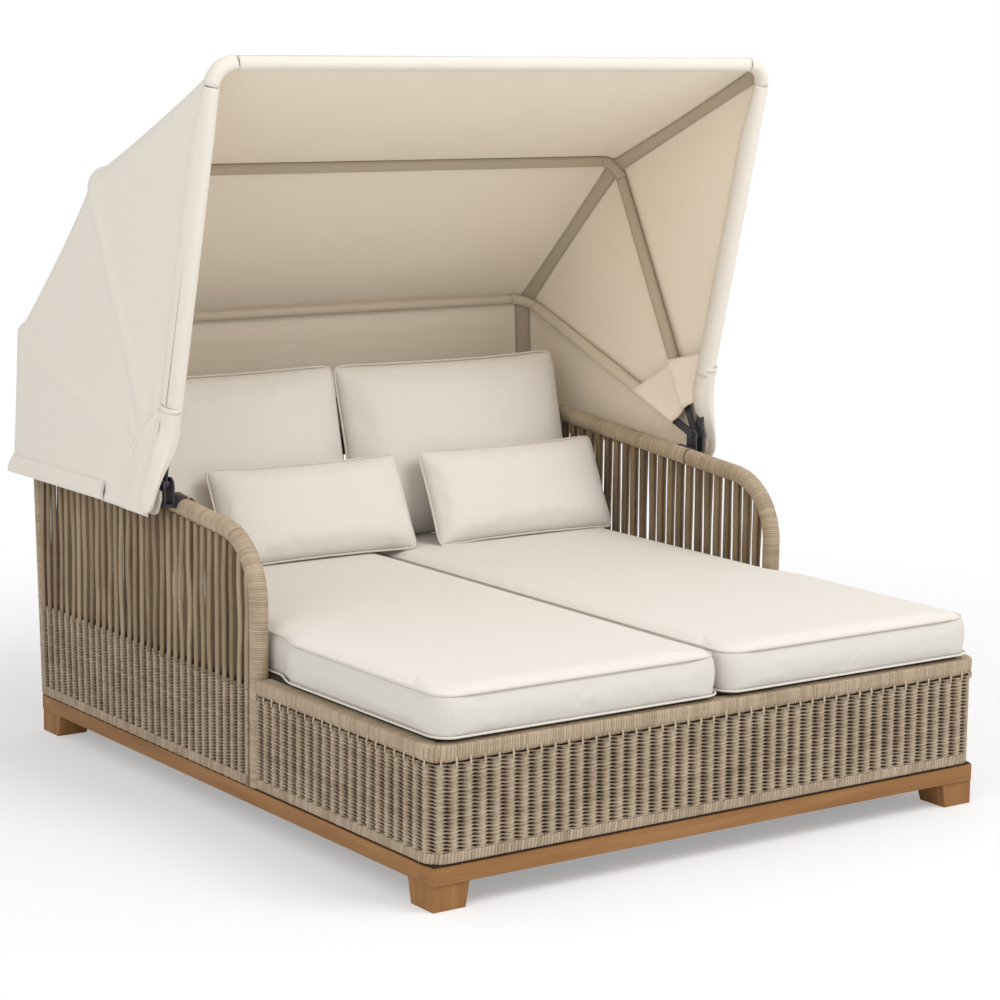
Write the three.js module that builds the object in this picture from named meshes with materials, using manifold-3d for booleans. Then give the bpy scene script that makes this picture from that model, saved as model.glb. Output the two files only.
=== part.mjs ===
// Outdoor double daybed with a folding canopy. Millimetres, +Z up, the open foot end faces -Y.
import * as THREE from 'three';
import { mergeVertices } from 'three/addons/utils/BufferGeometryUtils.js';
import Module from 'manifold-3d';

const wasm = await Module();
wasm.setup();

// Driving sizes: timber plinth and feet
const plinthWidth = 1600;
const plinthDepth = 1890;
const plinthHeight = 38;
const plinthRailWidth = 60;
const plinthCornerRadius = 14;
const footHeight = 60;
const footWidth = 94;
const footDepth = 100;
const footTaperAcross = 10;
const footTaperAlong = 14;
const footInset = 5;

// Driving sizes: dark base bars, woven box and its wrapped rim
const baseBarThickness = 5;
const baseBarWidth = 40;
const baseBarInset = 8;
const wovenOverhang = 6;
const wovenThickness = 12;
const boxWeaveHeight = 221;
const boxCornerRadius = 50;
const boxCornerReach = 62;
const rimHeight = 42;
const rimDepth = 46;
const rimTopRadius = 18;
const rimBottomRadius = 4;

// Driving sizes: arms
const armRailDiameter = 46;
const armSetback = 737;
const armHeight = 742;
const armRiseShare = 0.09;
const armBendRadius = 165;

// Driving sizes: raked back frame
const backTubeDiameter = 34;
const backRakeShare = 0.0526;
const backOverhang = 5;
const backCornerRadius = 45;

// Driving sizes: rope strands and the woven bands below them
const strandWidth = 9;
const strandPitch = 36;
const bandRise = 21;
const bandThickness = 10;
const bandInset = 4;
const strandBarHeight = 12;
const backStrandOffset = 5;
const strandInset = 1;

// Driving sizes: seat deck
const deckRise = 4;
const slatThickness = 12;
const slatWidth = 80;
const slatCount = 6;
const bearerHeight = 40;
const bearerWidth = 25;
const cornerPostSize = 25;
const beamWidth = 40;

// Driving sizes: inclined backrest behind the loose back cushions
const backrestThickness = 20;
const backrestSideGap = 38;
const backrestStandoff = 242.7;
const backrestRise = 68;
const backrestBorder = 45;
const backrestSlatWidth = 50;
const backrestSlotCount = 4;
const strutSize = 24;

// Driving sizes: cushions
const seatCushionHeight = 99;
const seatCushionCrown = 15;
const seatCushionRadius = 45;
const seatCushionFlare = 29;
const seatCushionFlareLength = 90;
const seatFrontInset = 3;
const cushionSideGap = 6;
const pipingRoll = 7;
const backCushionSideGap = 15;
const backCushionHeight = 500;
const backCushionThickness = 170;
const backCushionLean = 15.5;
const backCushionPull = 12;
const backCushionRadius = 34;
const backCushionSink = 10.3;
const backCushionSetback = 0.5;
const lumbarNarrowing = 149;
const lumbarHeight = 272;
const lumbarThickness = 116;
const lumbarLean = 26;
const lumbarPull = 13;
const lumbarRadius = 20;
const lumbarSideGap = 13;
const lumbarSpacing = 67;
const lumbarStandoff = 31.6;
const leftLumbarSink = 0.4;
const rightLumbarSink = 0.9;
const cushionEdgeThickness = 3;

// Driving sizes: canopy bows, their pivot and the fabric
const pivotSetback = 398;
const pivotRise = 30;
const bowPlaneOffset = 40;
const bowCornerRadius = 55;
const bowTubeWall = 2;
const bowTubeStart = 150;
const tongueOverlap = 15;
const tongueThickness = 5;
const tonguePitch = 6.2;
const tongueEdge = 3;
const frontBow = { reach: 1042, angle: 104, diameter: 30, layer: 1 };
const middleBow = { reach: 826, angle: 62.7, diameter: 25, layer: 0 };
const rearBowAngle = 20.9;
const rearBowDiameter = 25;
const rearBowClearance = 15.7;
const boltRadius = 5;
const boltHeadRadius = 9;
const boltHeadThickness = 5;
const boltClearance = 0.6;
const cheekThickness = 5;
const cheekLength = 40;
const cheekGap = 1;
const saddleWall = 4;
const saddleLength = 50;
const webHeight = 8;
const canopyThickness = 2;
const canopySideGap = 4;
const canopyInnerReach = 32;
const canopyTubeGap = 2;
const canopySag = 9;
const hemHeight = 700;
const hemFlare = 8;
const flapReach = 30;
const flapCornerRadius = 42;
const seamGap = 0.8;

// Clearances and mesh fineness
const fitGap = 0.3;
const cutOverrun = 10;
const railSides = 12;
const tubeSides = 10;
const bendSteps = 6;
const roundSteps = 4;
const boltSides = 12;
const mergeTolerance = 1e-4;

// Derived places
const halfWidth = plinthWidth / 2;
const halfDepth = plinthDepth / 2;
const plinthTop = footHeight + plinthHeight;
const bodyBottom = plinthTop + baseBarThickness;
const wovenHalfWidth = halfWidth + wovenOverhang;
const rimBottom = bodyBottom + boxWeaveHeight;
const bandHeight = boxWeaveHeight + bandRise;
const bandTop = bodyBottom + bandHeight;
const armRadius = armRailDiameter / 2;
const armX = wovenHalfWidth - armRadius;
const armFrontY = armSetback - halfDepth;
const armPostY = armFrontY + armRadius;
const pivotY = armFrontY + pivotSetback;
const pivotZ = armHeight + pivotRise;
const backRadius = backTubeDiameter / 2;
const backRake = Math.atan(backRakeShare);
const backFootY = halfDepth + backOverhang - backRadius;
const boxFrontY = -halfDepth - wovenOverhang / 2;
const deckHeight = rimBottom + rimHeight + deckRise;
const deckBottom = deckHeight - slatThickness;
const bearerBottom = deckBottom - bearerHeight;
const bearerX = armX - armRadius - fitGap - bearerWidth / 2;
const postFrontY = boxFrontY + boxCornerRadius + fitGap;

const bowPlaneX = armX + bowPlaneOffset;
const stackHalf = tonguePitch + tongueThickness / 2 + cheekGap;
const boltGrip = stackHalf + cheekThickness + fitGap;
const canopyPivotX = bowPlaneX + boltGrip + boltHeadThickness + canopySideGap;
const backrestWidth = 2 * (armX - backrestSideGap);
const backrestFootY = backFootY - backrestStandoff;

// Height of the arm rail's centre line over a place y on its straight run.
const armCentreHeight = (y) => armHeight - armRadius + armRiseShare * (y - pivotY);
// Place of the back frame's centre line at a height z.
const backY = (z) => backFootY + backRakeShare * (z - bodyBottom);

// Bow behind the others: it reaches just past the back frame's top rail.
const backTopZ = armCentreHeight(backY(armHeight));
const backTopY = backY(backTopZ);
const rearBowRun = backTopY + backRadius + rearBowClearance - pivotY;
const rearBow = {
  reach: rearBowRun / Math.cos(THREE.MathUtils.degToRad(rearBowAngle)),
  angle: rearBowAngle,
  diameter: rearBowDiameter,
  layer: -1,
};

// Materials
const material = (color, roughness, metalness = 0) =>
  new THREE.MeshStandardMaterial({ color, roughness, metalness });
const timber = material('#b08458', 0.55);
const darkMetal = material('#2f2f30', 0.45, 0.6);
const greyMetal = material('#8b8478', 0.45, 0.6);
const rope = material('#a3927a', 0.8);
const cushionFabric = material('#e6e0d9', 0.95);
const canopyFabric = material('#ddd4c6', 0.95);
const deckSlat = material('#6d6254', 0.6, 0.3);

const model = new THREE.Group();

function addPiece(name, geometry, surface, parent = model) {
  const mesh = new THREE.Mesh(geometry, surface);
  mesh.name = name;
  parent.add(mesh);
  return mesh;
}

// Booleans
function solidOf(geometry) {
  const plain = geometry.clone();
  plain.deleteAttribute('normal');
  plain.deleteAttribute('uv');
  const merged = mergeVertices(plain, mergeTolerance);
  return new wasm.Manifold(new wasm.Mesh({
    numProp: 3,
    vertProperties: new Float32Array(merged.attributes.position.array),
    triVerts: new Uint32Array(merged.index.array),
  }));
}

function geometryOf(solid) {
  const mesh = solid.getMesh();
  const geometry = new THREE.BufferGeometry();
  geometry.setAttribute('position', new THREE.BufferAttribute(mesh.vertProperties, 3));
  geometry.setIndex(new THREE.BufferAttribute(mesh.triVerts, 1));
  geometry.computeVertexNormals();
  return geometry;
}

function joined(geometries) {
  return geometries.map(solidOf).reduce((whole, next) => whole.add(next));
}

// Basic shapes
function block(low, high) {
  const size = high.map((value, k) => value - low[k]);
  const centre = high.map((value, k) => (value + low[k]) / 2);
  return new THREE.BoxGeometry(...size).translate(...centre);
}

// Lower and upper value of a span given by its distances from the middle, on the left or right side.
function sideSpan(direction, near, far) {
  return direction < 0 ? [-far, -near] : [near, far];
}

// A prism whose outline lies in the YZ plane, from x = lowX to x = highX.
function sidePrism(outline, lowX, highX) {
  const shape = new THREE.Shape(outline.map(([y, z]) => new THREE.Vector2(y, z)));
  const prism = new THREE.ExtrudeGeometry(shape, { depth: highX - lowX, bevelEnabled: false });
  const axes = new THREE.Matrix4().makeBasis(
    new THREE.Vector3(0, 1, 0), new THREE.Vector3(0, 0, 1), new THREE.Vector3(1, 0, 0));
  return prism.applyMatrix4(axes).translate(lowX, 0, 0);
}

function arcPoints(centreX, centreY, radius, fromDegrees, toDegrees, steps) {
  return Array.from({ length: steps + 1 }, (_, k) => {
    const angle = THREE.MathUtils.degToRad(fromDegrees + ((toDegrees - fromDegrees) * k) / steps);
    return [centreX + radius * Math.cos(angle), centreY + radius * Math.sin(angle)];
  });
}

// A path through listed stations, so that a swept section has a ring at each one and nowhere else.
class StationPath extends THREE.Curve {
  constructor(points) {
    super();
    this.points = points;
  }

  getPoint(t, target = new THREE.Vector3()) {
    const place = t * (this.points.length - 1);
    const k = Math.min(Math.floor(place), this.points.length - 2);
    return target.copy(this.points[k]).lerp(this.points[k + 1], place - k);
  }

  getPointAt(u, target) {
    return this.getPoint(u, target);
  }

  getTangentAt(u) {
    const k = Math.round(u * (this.points.length - 1));
    const before = this.points[Math.max(k - 1, 0)];
    const after = this.points[Math.min(k + 1, this.points.length - 1)];
    return after.clone().sub(before).normalize();
  }
}

// Replaces each inner corner of a broken line by an arc of its own radius.
function filleted(corners, radii) {
  const points = [corners[0].clone()];
  for (let k = 1; k < corners.length - 1; k += 1) {
    const back = corners[k - 1].clone().sub(corners[k]).normalize();
    const ahead = corners[k + 1].clone().sub(corners[k]).normalize();
    const half = back.angleTo(ahead) / 2;
    const bisector = back.clone().add(ahead).normalize();
    const centre = corners[k].clone().addScaledVector(bisector, radii[k - 1] / Math.sin(half));
    const start = corners[k].clone().addScaledVector(back, radii[k - 1] / Math.tan(half));
    const normal = start.clone().sub(centre);
    const turn = Math.PI - 2 * half;
    const axis = back.clone().cross(ahead).normalize().negate();
    for (let step = 0; step <= bendSteps; step += 1) {
      const arm = normal.clone().applyAxisAngle(axis, (turn * step) / bendSteps);
      points.push(centre.clone().add(arm));
    }
  }
  points.push(corners[corners.length - 1].clone());
  return points;
}

function roundSection(radius, sides, boreRadius = 0) {
  const ring = (r) => Array.from({ length: sides }, (_, k) => {
    const angle = (2 * Math.PI * k) / sides;
    return new THREE.Vector2(r * Math.cos(angle), r * Math.sin(angle));
  });
  const shape = new THREE.Shape(ring(radius));
  if (boreRadius > 0) shape.holes.push(new THREE.Path(ring(boreRadius)));
  return shape;
}

function swept(shape, points) {
  return new THREE.ExtrudeGeometry(shape, {
    steps: points.length - 1,
    extrudePath: new StationPath(points),
  });
}

// Timber plinth: two long rails with rounded corners and two side rails butted between them
function plinthEndRail(direction) {
  const inner = halfDepth - plinthRailWidth;
  const radius = plinthCornerRadius;
  const rightArc = arcPoints(halfWidth - radius, halfDepth - radius, radius, 0, 90, roundSteps);
  const leftArc = arcPoints(radius - halfWidth, halfDepth - radius, radius, 90, 180, roundSteps);
  const outline = [[halfWidth, inner], ...rightArc, ...leftArc, [-halfWidth, inner]];
  const points = outline.map(([x, y]) => new THREE.Vector2(x, direction * y));
  const plan = new THREE.Shape(points);
  const rail = new THREE.ExtrudeGeometry(plan, { depth: plinthHeight, bevelEnabled: false });
  return rail.translate(0, 0, footHeight);
}

function addPlinth() {
  addPiece('plinth_front_rail', plinthEndRail(-1), timber);
  addPiece('plinth_rear_rail', plinthEndRail(1), timber);
  const reach = halfDepth - plinthRailWidth;
  for (const [side, direction] of [['left', -1], ['right', 1]]) {
    const [low, high] = sideSpan(direction, halfWidth - plinthRailWidth, halfWidth);
    const rail = block([low, -reach, footHeight], [high, reach, plinthTop]);
    addPiece(`plinth_${side}_rail`, rail, timber);
  }
}

// A foot is square to the plinth outside and tapers inwards on its two inner faces.
function foot(sideX, sideY) {
  const geometry = new THREE.BoxGeometry(footWidth, footDepth, footHeight);
  const place = geometry.attributes.position;
  for (let k = 0; k < place.count; k += 1) {
    const inwardX = place.getX(k) * sideX < 0;
    const inwardY = place.getY(k) * sideY < 0;
    const atFloor = place.getZ(k) < 0;
    if (atFloor && inwardX) place.setX(k, place.getX(k) + sideX * footTaperAcross);
    if (atFloor && inwardY) place.setY(k, place.getY(k) + sideY * footTaperAlong);
  }
  const x = sideX * (halfWidth - footInset - footWidth / 2);
  const y = sideY * (halfDepth - footInset - footDepth / 2);
  return geometry.translate(x, y, footHeight / 2);
}

function addFeet() {
  for (const [end, sideY] of [['front', -1], ['rear', 1]]) {
    for (const [side, sideX] of [['left', -1], ['right', 1]]) {
      addPiece(`${end}_${side}_foot`, foot(sideX, sideY), timber);
    }
  }
}

// Dark flat bars between the plinth and the woven body, seen as a thin shadow line
function addBaseBars() {
  const x = halfWidth - baseBarInset;
  const y = halfDepth - baseBarInset;
  for (const [end, direction] of [['front', -1], ['rear', 1]]) {
    const [low, high] = sideSpan(direction, y - baseBarWidth, y);
    addPiece(`${end}_base_bar`, block([-x, low, plinthTop], [x, high, bodyBottom]), darkMetal);
  }
  for (const [side, direction] of [['left', -1], ['right', 1]]) {
    const [low, high] = sideSpan(direction, x - baseBarWidth, x);
    const bar = block([low, baseBarWidth - y, plinthTop], [high, y - baseBarWidth, bodyBottom]);
    addPiece(`${side}_base_bar`, bar, darkMetal);
  }
}

// Arm rails and back frame: their centre lines
function armStations(direction) {
  const x = direction * armX;
  const rearTop = armCentreHeight(halfDepth) - armRadius;
  const rearY = backY(rearTop) - backRadius / 2;
  const corners = [
    new THREE.Vector3(x, armPostY, bodyBottom + fitGap),
    new THREE.Vector3(x, armPostY, armCentreHeight(armPostY)),
    new THREE.Vector3(x, rearY, armCentreHeight(rearY)),
  ];
  return filleted(corners, [armBendRadius]);
}

function backStations() {
  const corner = (direction, z) => new THREE.Vector3(direction * armX, backY(z), z);
  const foot = bodyBottom + fitGap;
  return filleted([corner(-1, foot), corner(-1, backTopZ), corner(1, backTopZ), corner(1, foot)],
    [backCornerRadius, backCornerRadius]);
}

// Height of an arm's centre line over y, read off its stations.
function heightOver(stations, y) {
  const k = stations.findIndex((point, i) => i > 1 && point.y >= y);
  const [from, to] = [stations[k - 1], stations[k]];
  return from.z + ((to.z - from.z) * (y - from.y)) / (to.y - from.y);
}

function addFrames() {
  for (const [side, direction] of [['left', -1], ['right', 1]]) {
    const rail = solidOf(swept(roundSection(armRadius, railSides), armStations(direction)));
    addPiece(`${side}_arm_rail`, geometryOf(rail.subtract(backCutter)), rope);
  }
  addPiece('back_frame', swept(roundSection(backRadius, tubeSides), backStations()), greyMetal);
}

// What stands against a rail or the back frame is cut back from it by the fit gap.
const armCutters = new Map([-1, 1].map((direction) =>
  [direction, solidOf(swept(roundSection(armRadius + fitGap, railSides), armStations(direction)))]));
const backCutter = solidOf(swept(roundSection(backRadius + fitGap, tubeSides), backStations()));

// Woven box at the foot end: a front panel that turns both corners, and two side panels
function cornerOutline(outerX, frontY, radius, thickness) {
  const side = frontY + boxCornerReach;
  const outer = [
    [-outerX, side],
    ...arcPoints(radius - outerX, frontY + radius, radius, 180, 270, roundSteps),
    ...arcPoints(outerX - radius, frontY + radius, radius, 270, 360, roundSteps),
    [outerX, side],
  ];
  const innerRadius = radius - thickness;
  const inner = [
    [outerX - thickness, side],
    ...arcPoints(outerX - radius, frontY + radius, innerRadius, 360, 270, roundSteps),
    ...arcPoints(radius - outerX, frontY + radius, innerRadius, 270, 180, roundSteps),
    [thickness - outerX, side],
  ];
  const distinct = [...outer, ...inner].filter(([x, y], k, all) => {
    const [lastX, lastY] = all[(k + all.length - 1) % all.length];
    return Math.hypot(x - lastX, y - lastY) > mergeTolerance;
  });
  return new THREE.Shape(distinct.map(([x, y]) => new THREE.Vector2(x, y)));
}

function addWovenBox() {
  const outline = cornerOutline(wovenHalfWidth, boxFrontY, boxCornerRadius, wovenThickness);
  const front = new THREE.ExtrudeGeometry(outline, { depth: boxWeaveHeight, bevelEnabled: false });
  addPiece('front_woven_panel', front.translate(0, 0, bodyBottom), rope);
  const startY = boxFrontY + boxCornerReach;
  for (const [side, direction] of [['left', -1], ['right', 1]]) {
    const [low, high] = sideSpan(direction, wovenHalfWidth - wovenThickness, wovenHalfWidth);
    const panel = block([low, startY, bodyBottom], [high, armPostY, rimBottom]);
    addPiece(`${side}_woven_panel`, geometryOf(solidOf(panel).subtract(armCutters.get(direction))), rope);
  }
}

// Rim section: flat where it sits on the weave, well rounded on top. Its first axis runs across the rim.
function rimSection() {
  const half = rimDepth / 2;
  const points = [
    ...arcPoints(half - rimBottomRadius, rimBottomRadius, rimBottomRadius, 270, 360, 1),
    ...arcPoints(half - rimTopRadius, rimHeight - rimTopRadius, rimTopRadius, 0, 90, roundSteps),
    ...arcPoints(rimTopRadius - half, rimHeight - rimTopRadius, rimTopRadius, 90, 180, roundSteps),
    ...arcPoints(rimBottomRadius - half, rimBottomRadius, rimBottomRadius, 180, 270, 1),
  ];
  return points;
}

// A rim swept along a plan path: each station's ring stands square to the path, with its base level.
function rimGeometry(stations) {
  const section = rimSection();
  const rings = stations.map((station, k) => {
    const before = stations[Math.max(k - 1, 0)];
    const after = stations[Math.min(k + 1, stations.length - 1)];
    const ahead = after.clone().sub(before).normalize();
    const across = new THREE.Vector3(-ahead.y, ahead.x, 0);
    const up = new THREE.Vector3(0, 0, 1);
    return section.map(([u, v]) => station.clone().addScaledVector(across, u).addScaledVector(up, v));
  });
  return ringSolid(rings);
}

// A closed surface through rings of equal count, capped by a fan at each end.
function ringSolid(rings) {
  const count = rings[0].length;
  const centreOf = (ring) => ring.reduce((sum, p) => sum.add(p), new THREE.Vector3()).divideScalar(count);
  const points = [...rings.flat(), centreOf(rings[0]), centreOf(rings[rings.length - 1])];
  const firstCentre = rings.length * count;
  const faces = [];
  for (let k = 0; k < count; k += 1) {
    const next = (k + 1) % count;
    faces.push(firstCentre, next, k);
    const last = (rings.length - 1) * count;
    faces.push(firstCentre + 1, last + k, last + next);
    for (let r = 0; r < rings.length - 1; r += 1) {
      const [a, b] = [r * count + k, r * count + next];
      const [c, d] = [a + count, b + count];
      faces.push(a, b, d, a, d, c);
    }
  }
  const geometry = new THREE.BufferGeometry().setFromPoints(points);
  geometry.setIndex(faces);
  geometry.computeVertexNormals();
  return geometry;
}

function addRim() {
  const x = wovenHalfWidth - rimDepth / 2;
  const y = boxFrontY + rimDepth / 2;
  const startY = boxFrontY + boxCornerReach;
  const radius = boxCornerRadius - rimDepth / 2;
  const corner = (px, py) => new THREE.Vector3(px, py, rimBottom);
  const corners = [corner(-x, startY), corner(-x, y), corner(x, y), corner(x, startY)];
  const front = filleted(corners, [radius, radius]);
  addPiece('front_rim', rimGeometry(distinctPoints(front)), rope);
  const rearY = armFrontY - fitGap;
  for (const [side, direction] of [['left', -1], ['right', 1]]) {
    const run = [corner(direction * x, startY), corner(direction * x, rearY)];
    addPiece(`${side}_rim`, rimGeometry(direction < 0 ? run.reverse() : run), rope);
  }
}

function distinctPoints(points) {
  return points.filter((point, k) => k === 0 || point.distanceTo(points[k - 1]) > mergeTolerance);
}

// Rope strands of an arm: an outer and an inner layer, joined by the bar they are tied to
function strandPlaces(fromY, toY) {
  const count = Math.floor((toY - fromY) / strandPitch);
  const first = (fromY + toY - (count - 1) * strandPitch) / 2;
  return Array.from({ length: count }, (_, k) => first + k * strandPitch);
}

function armStrands(direction) {
  const stations = armStations(direction);
  const rearY = backY(bandTop) - backRadius - fitGap;
  const layers = [armX + armRadius - strandWidth - strandInset, armX - armRadius + strandInset];
  const pieces = [];
  const [barLow, barHigh] = sideSpan(direction, layers[1], layers[0] + strandWidth);
  pieces.push(block([barLow, armPostY, bandTop + fitGap], [barHigh, rearY, bandTop + strandBarHeight]));
  for (const y of strandPlaces(armPostY + armRadius, rearY)) {
    const top = heightOver(stations, y);
    for (const layer of layers) {
      const [low, high] = sideSpan(direction, layer, layer + strandWidth);
      pieces.push(block([low, y - strandWidth / 2, bandTop + strandBarHeight / 2],
        [high, y + strandWidth / 2, top]));
    }
  }
  return joined(pieces).subtract(armCutters.get(direction)).subtract(backCutter);
}

function armBand(direction) {
  const bottom = bodyBottom + fitGap;
  const outline = [
    [armPostY, bottom], [backY(bottom), bottom], [backY(bandTop), bandTop], [armPostY, bandTop],
  ];
  const span = sideSpan(direction, wovenHalfWidth - bandInset - bandThickness, wovenHalfWidth - bandInset);
  return solidOf(sidePrism(outline, ...span)).subtract(armCutters.get(direction)).subtract(backCutter);
}

// Back infill, built upright in the plane of the back frame and raked with it
function rakedGroup() {
  const group = new THREE.Group();
  group.position.set(0, backFootY, bodyBottom);
  group.rotation.x = -backRake;
  model.add(group);
  return group;
}

function cutByBackFrame(solid) {
  const toGroup = new THREE.Matrix4().makeTranslation(0, backFootY, bodyBottom)
    .multiply(new THREE.Matrix4().makeRotationX(-backRake)).invert();
  return solid.subtract(backCutter.transform(toGroup.toArray()));
}

function addBackInfill() {
  const group = rakedGroup();
  const along = 1 / Math.cos(backRake);
  const bandEdge = bandHeight * along;
  const topRise = (backTopZ - bodyBottom) * along;
  const near = backStrandOffset;
  const bandFoot = fitGap + bandThickness * backRakeShare;
  const band = block([-armX, near, bandFoot], [armX, near + bandThickness, bandEdge]);
  addPiece('back_woven_band', geometryOf(cutByBackFrame(solidOf(band))), rope, group);
  const pieces = [
    block([-armX, near, bandEdge + fitGap], [armX, near + strandWidth, bandEdge + strandBarHeight]),
  ];
  for (const x of strandPlaces(backRadius - armX, armX - backRadius)) {
    pieces.push(block([x - strandWidth / 2, near, bandEdge + strandBarHeight / 2],
      [x + strandWidth / 2, near + strandWidth, topRise]));
  }
  addPiece('back_strands', geometryOf(cutByBackFrame(joined(pieces))), rope, group);
}

function addArmInfill() {
  for (const [side, direction] of [['left', -1], ['right', 1]]) {
    addPiece(`${side}_arm_strands`, geometryOf(armStrands(direction)), rope);
    addPiece(`${side}_arm_woven_band`, geometryOf(armBand(direction)), rope);
  }
}

// Seat deck: bearers, cross rails, a centre beam, front posts and slats
function addDeck() {
  const crossFront = postFrontY;
  const bearerEnd = backY(bearerBottom) - backRadius - fitGap;
  for (const [side, direction] of [['left', -1], ['right', 1]]) {
    const centre = direction * bearerX;
    const low = centre - bearerWidth / 2;
    const high = centre + bearerWidth / 2;
    const bearer = block([low, crossFront, bearerBottom], [high, bearerEnd, deckBottom]);
    addPiece(`${side}_side_bearer`, bearer, greyMetal);
    const post = block([centre - cornerPostSize / 2, crossFront, bodyBottom],
      [centre + cornerPostSize / 2, crossFront + cornerPostSize, bearerBottom]);
    addPiece(`${side}_front_post`, post, greyMetal);
  }
  const inner = bearerX - bearerWidth / 2;
  addPiece('front_cross_rail', block([-inner, crossFront, bearerBottom],
    [inner, crossFront + bearerWidth, deckBottom]), greyMetal);
  const rearX = bearerX + bearerWidth / 2;
  addPiece('rear_cross_rail', block([-rearX, bearerEnd, bearerBottom],
    [rearX, bearerEnd + bearerWidth / 2, deckBottom]), greyMetal);
  addPiece('centre_beam', block([-beamWidth / 2, crossFront + bearerWidth, bearerBottom],
    [beamWidth / 2, bearerEnd, deckBottom]), greyMetal);
  const slatX = bearerX + bearerWidth / 2;
  const firstY = crossFront;
  const lastY = backrestFootY - slatWidth / 2;
  for (let k = 0; k < slatCount; k += 1) {
    const y = firstY + ((lastY - firstY) * k) / (slatCount - 1);
    const slat = block([-slatX, y, deckBottom], [slatX, y + slatWidth, deckHeight]);
    addPiece(`deck_slat_${k + 1}`, slat, deckSlat);
  }
}

// Loose back cushions, and the inclined backrest that stands behind them
const seatBottom = deckHeight + fitGap;
const seatTop = seatBottom + seatCushionHeight + seatCushionCrown;
const seatFrontY = -halfDepth + seatFrontInset;
const seatRearY = backrestFootY - fitGap;
const armInnerX = armX - armRadius;
const backCushionWidth = armInnerX - cushionSideGap / 2 - backCushionSideGap;
const lumbarWidth = backCushionWidth - lumbarNarrowing;
const rightLumbarX = armInnerX - lumbarSideGap - lumbarWidth / 2;
const leftLumbarX = rightLumbarX - lumbarWidth - lumbarSpacing;
const leanSlope = Math.tan(THREE.MathUtils.degToRad(backCushionLean));
const backCushionFootY = seatRearY - (backCushionThickness / 2) * (1 - leanSlope) + backCushionSetback;

function addBackrest() {
  const lean = THREE.MathUtils.degToRad(backCushionLean);
  const footRise = backrestThickness * Math.sin(lean);
  const footZ = deckHeight + fitGap + footRise;
  const backrestLength = (backTopZ + backrestRise - footZ) / Math.cos(lean);
  const half = backrestWidth / 2;
  const shape = new THREE.Shape([
    new THREE.Vector2(-half, 0), new THREE.Vector2(half, 0),
    new THREE.Vector2(half, backrestLength), new THREE.Vector2(-half, backrestLength),
  ]);
  const openHeight = backrestLength - 2 * backrestBorder - (backrestSlotCount - 1) * backrestSlatWidth;
  const slotHeight = openHeight / backrestSlotCount;
  const slotHalf = half - backrestBorder;
  for (let k = 0; k < backrestSlotCount; k += 1) {
    const low = backrestBorder + k * (slotHeight + backrestSlatWidth);
    shape.holes.push(new THREE.Path([
      new THREE.Vector2(-slotHalf, low), new THREE.Vector2(-slotHalf, low + slotHeight),
      new THREE.Vector2(slotHalf, low + slotHeight), new THREE.Vector2(slotHalf, low),
    ]));
  }
  const panel = new THREE.ExtrudeGeometry(shape, { depth: backrestThickness, bevelEnabled: false });
  panel.rotateX(Math.PI / 2).translate(0, backrestThickness, 0);
  panel.rotateX(-lean).translate(0, backrestFootY, footZ);
  addPiece('backrest_panel', panel, greyMetal);

  const top = backTopZ + strutSize / 2;
  const nearRise = backTopZ - strutSize / 2 - footZ;
  const nearY = backrestFootY + backrestThickness / Math.cos(lean) + (nearRise + strutSize) * leanSlope;
  const farY = backTopY - backRadius - fitGap;
  for (const [side, direction] of [['left', -1], ['right', 1]]) {
    const x = (direction * (backrestWidth - backrestBorder)) / 2;
    const strut = block([x - strutSize / 2, nearY + fitGap, backTopZ - strutSize / 2],
      [x + strutSize / 2, farY, top]);
    addPiece(`${side}_backrest_strut`, strut, greyMetal);
  }
}

// Cushions
function roundedRectangle(halfX, halfY, radius, steps) {
  return [
    ...arcPoints(halfX - radius, halfY - radius, radius, 0, 90, steps),
    ...arcPoints(radius - halfX, halfY - radius, radius, 90, 180, steps),
    ...arcPoints(radius - halfX, radius - halfY, radius, 180, 270, steps),
    ...arcPoints(halfX - radius, radius - halfY, radius, 270, 360, steps),
  ];
}

// Adds evenly spread points on the long sides of an outline, so that its sides can bend.
function withSidePoints(outline, longest) {
  return outline.flatMap(([x, y], k) => {
    const [nextX, nextY] = outline[(k + 1) % outline.length];
    const parts = Math.max(1, Math.round(Math.hypot(nextX - x, nextY - y) / longest));
    const between = (i) => [x + ((nextX - x) * i) / parts, y + ((nextY - y) * i) / parts];
    return Array.from({ length: parts }, (_, i) => between(i));
  });
}

// Levels of a box cushion: share of the height, inset of the outline, share of the crown
const seatLevelShares = [
  [0, 1.7, 0], [0.02, 0.6, 0], [0.1, 0, 0], [0.5, -0.35, 0], [0.9, 0, 0], [1, 0.9, 0.05],
  [1, 6, 0.45], [1, 17, 0.85], [1, 34, 1],
];

function seatCushion(direction) {
  const innerX = cushionSideGap / 2;
  const outerX = armInnerX - cushionSideGap;
  const halfX = (outerX - innerX) / 2;
  const halfY = (seatRearY - seatFrontY) / 2;
  const centreX = (outerX + innerX) / 2;
  const centreY = (seatFrontY + seatRearY) / 2;
  const base = withSidePoints(roundedRectangle(halfX, halfY, seatCushionRadius, 3), halfY / 6);
  const flareStart = armRadius - armFrontY;
  const rings = seatLevelShares.map(([heightShare, insetShare, crownShare]) => {
    const inset = insetShare * pipingRoll;
    const z = seatBottom + heightShare * seatCushionHeight + crownShare * seatCushionCrown;
    return base.map(([x, y]) => {
      const px = centreX + x * (1 - inset / halfX);
      const py = centreY + y * (1 - inset / halfY);
      const open = THREE.MathUtils.smoothstep(-py, flareStart, flareStart + seatCushionFlareLength);
      const flared = px + (open * seatCushionFlare * (px - innerX)) / (outerX - innerX);
      return new THREE.Vector3(direction * flared, py, z);
    });
  });
  return ringSolid(direction > 0 ? rings : rings.map((ring) => [...ring].reverse()));
}

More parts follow.
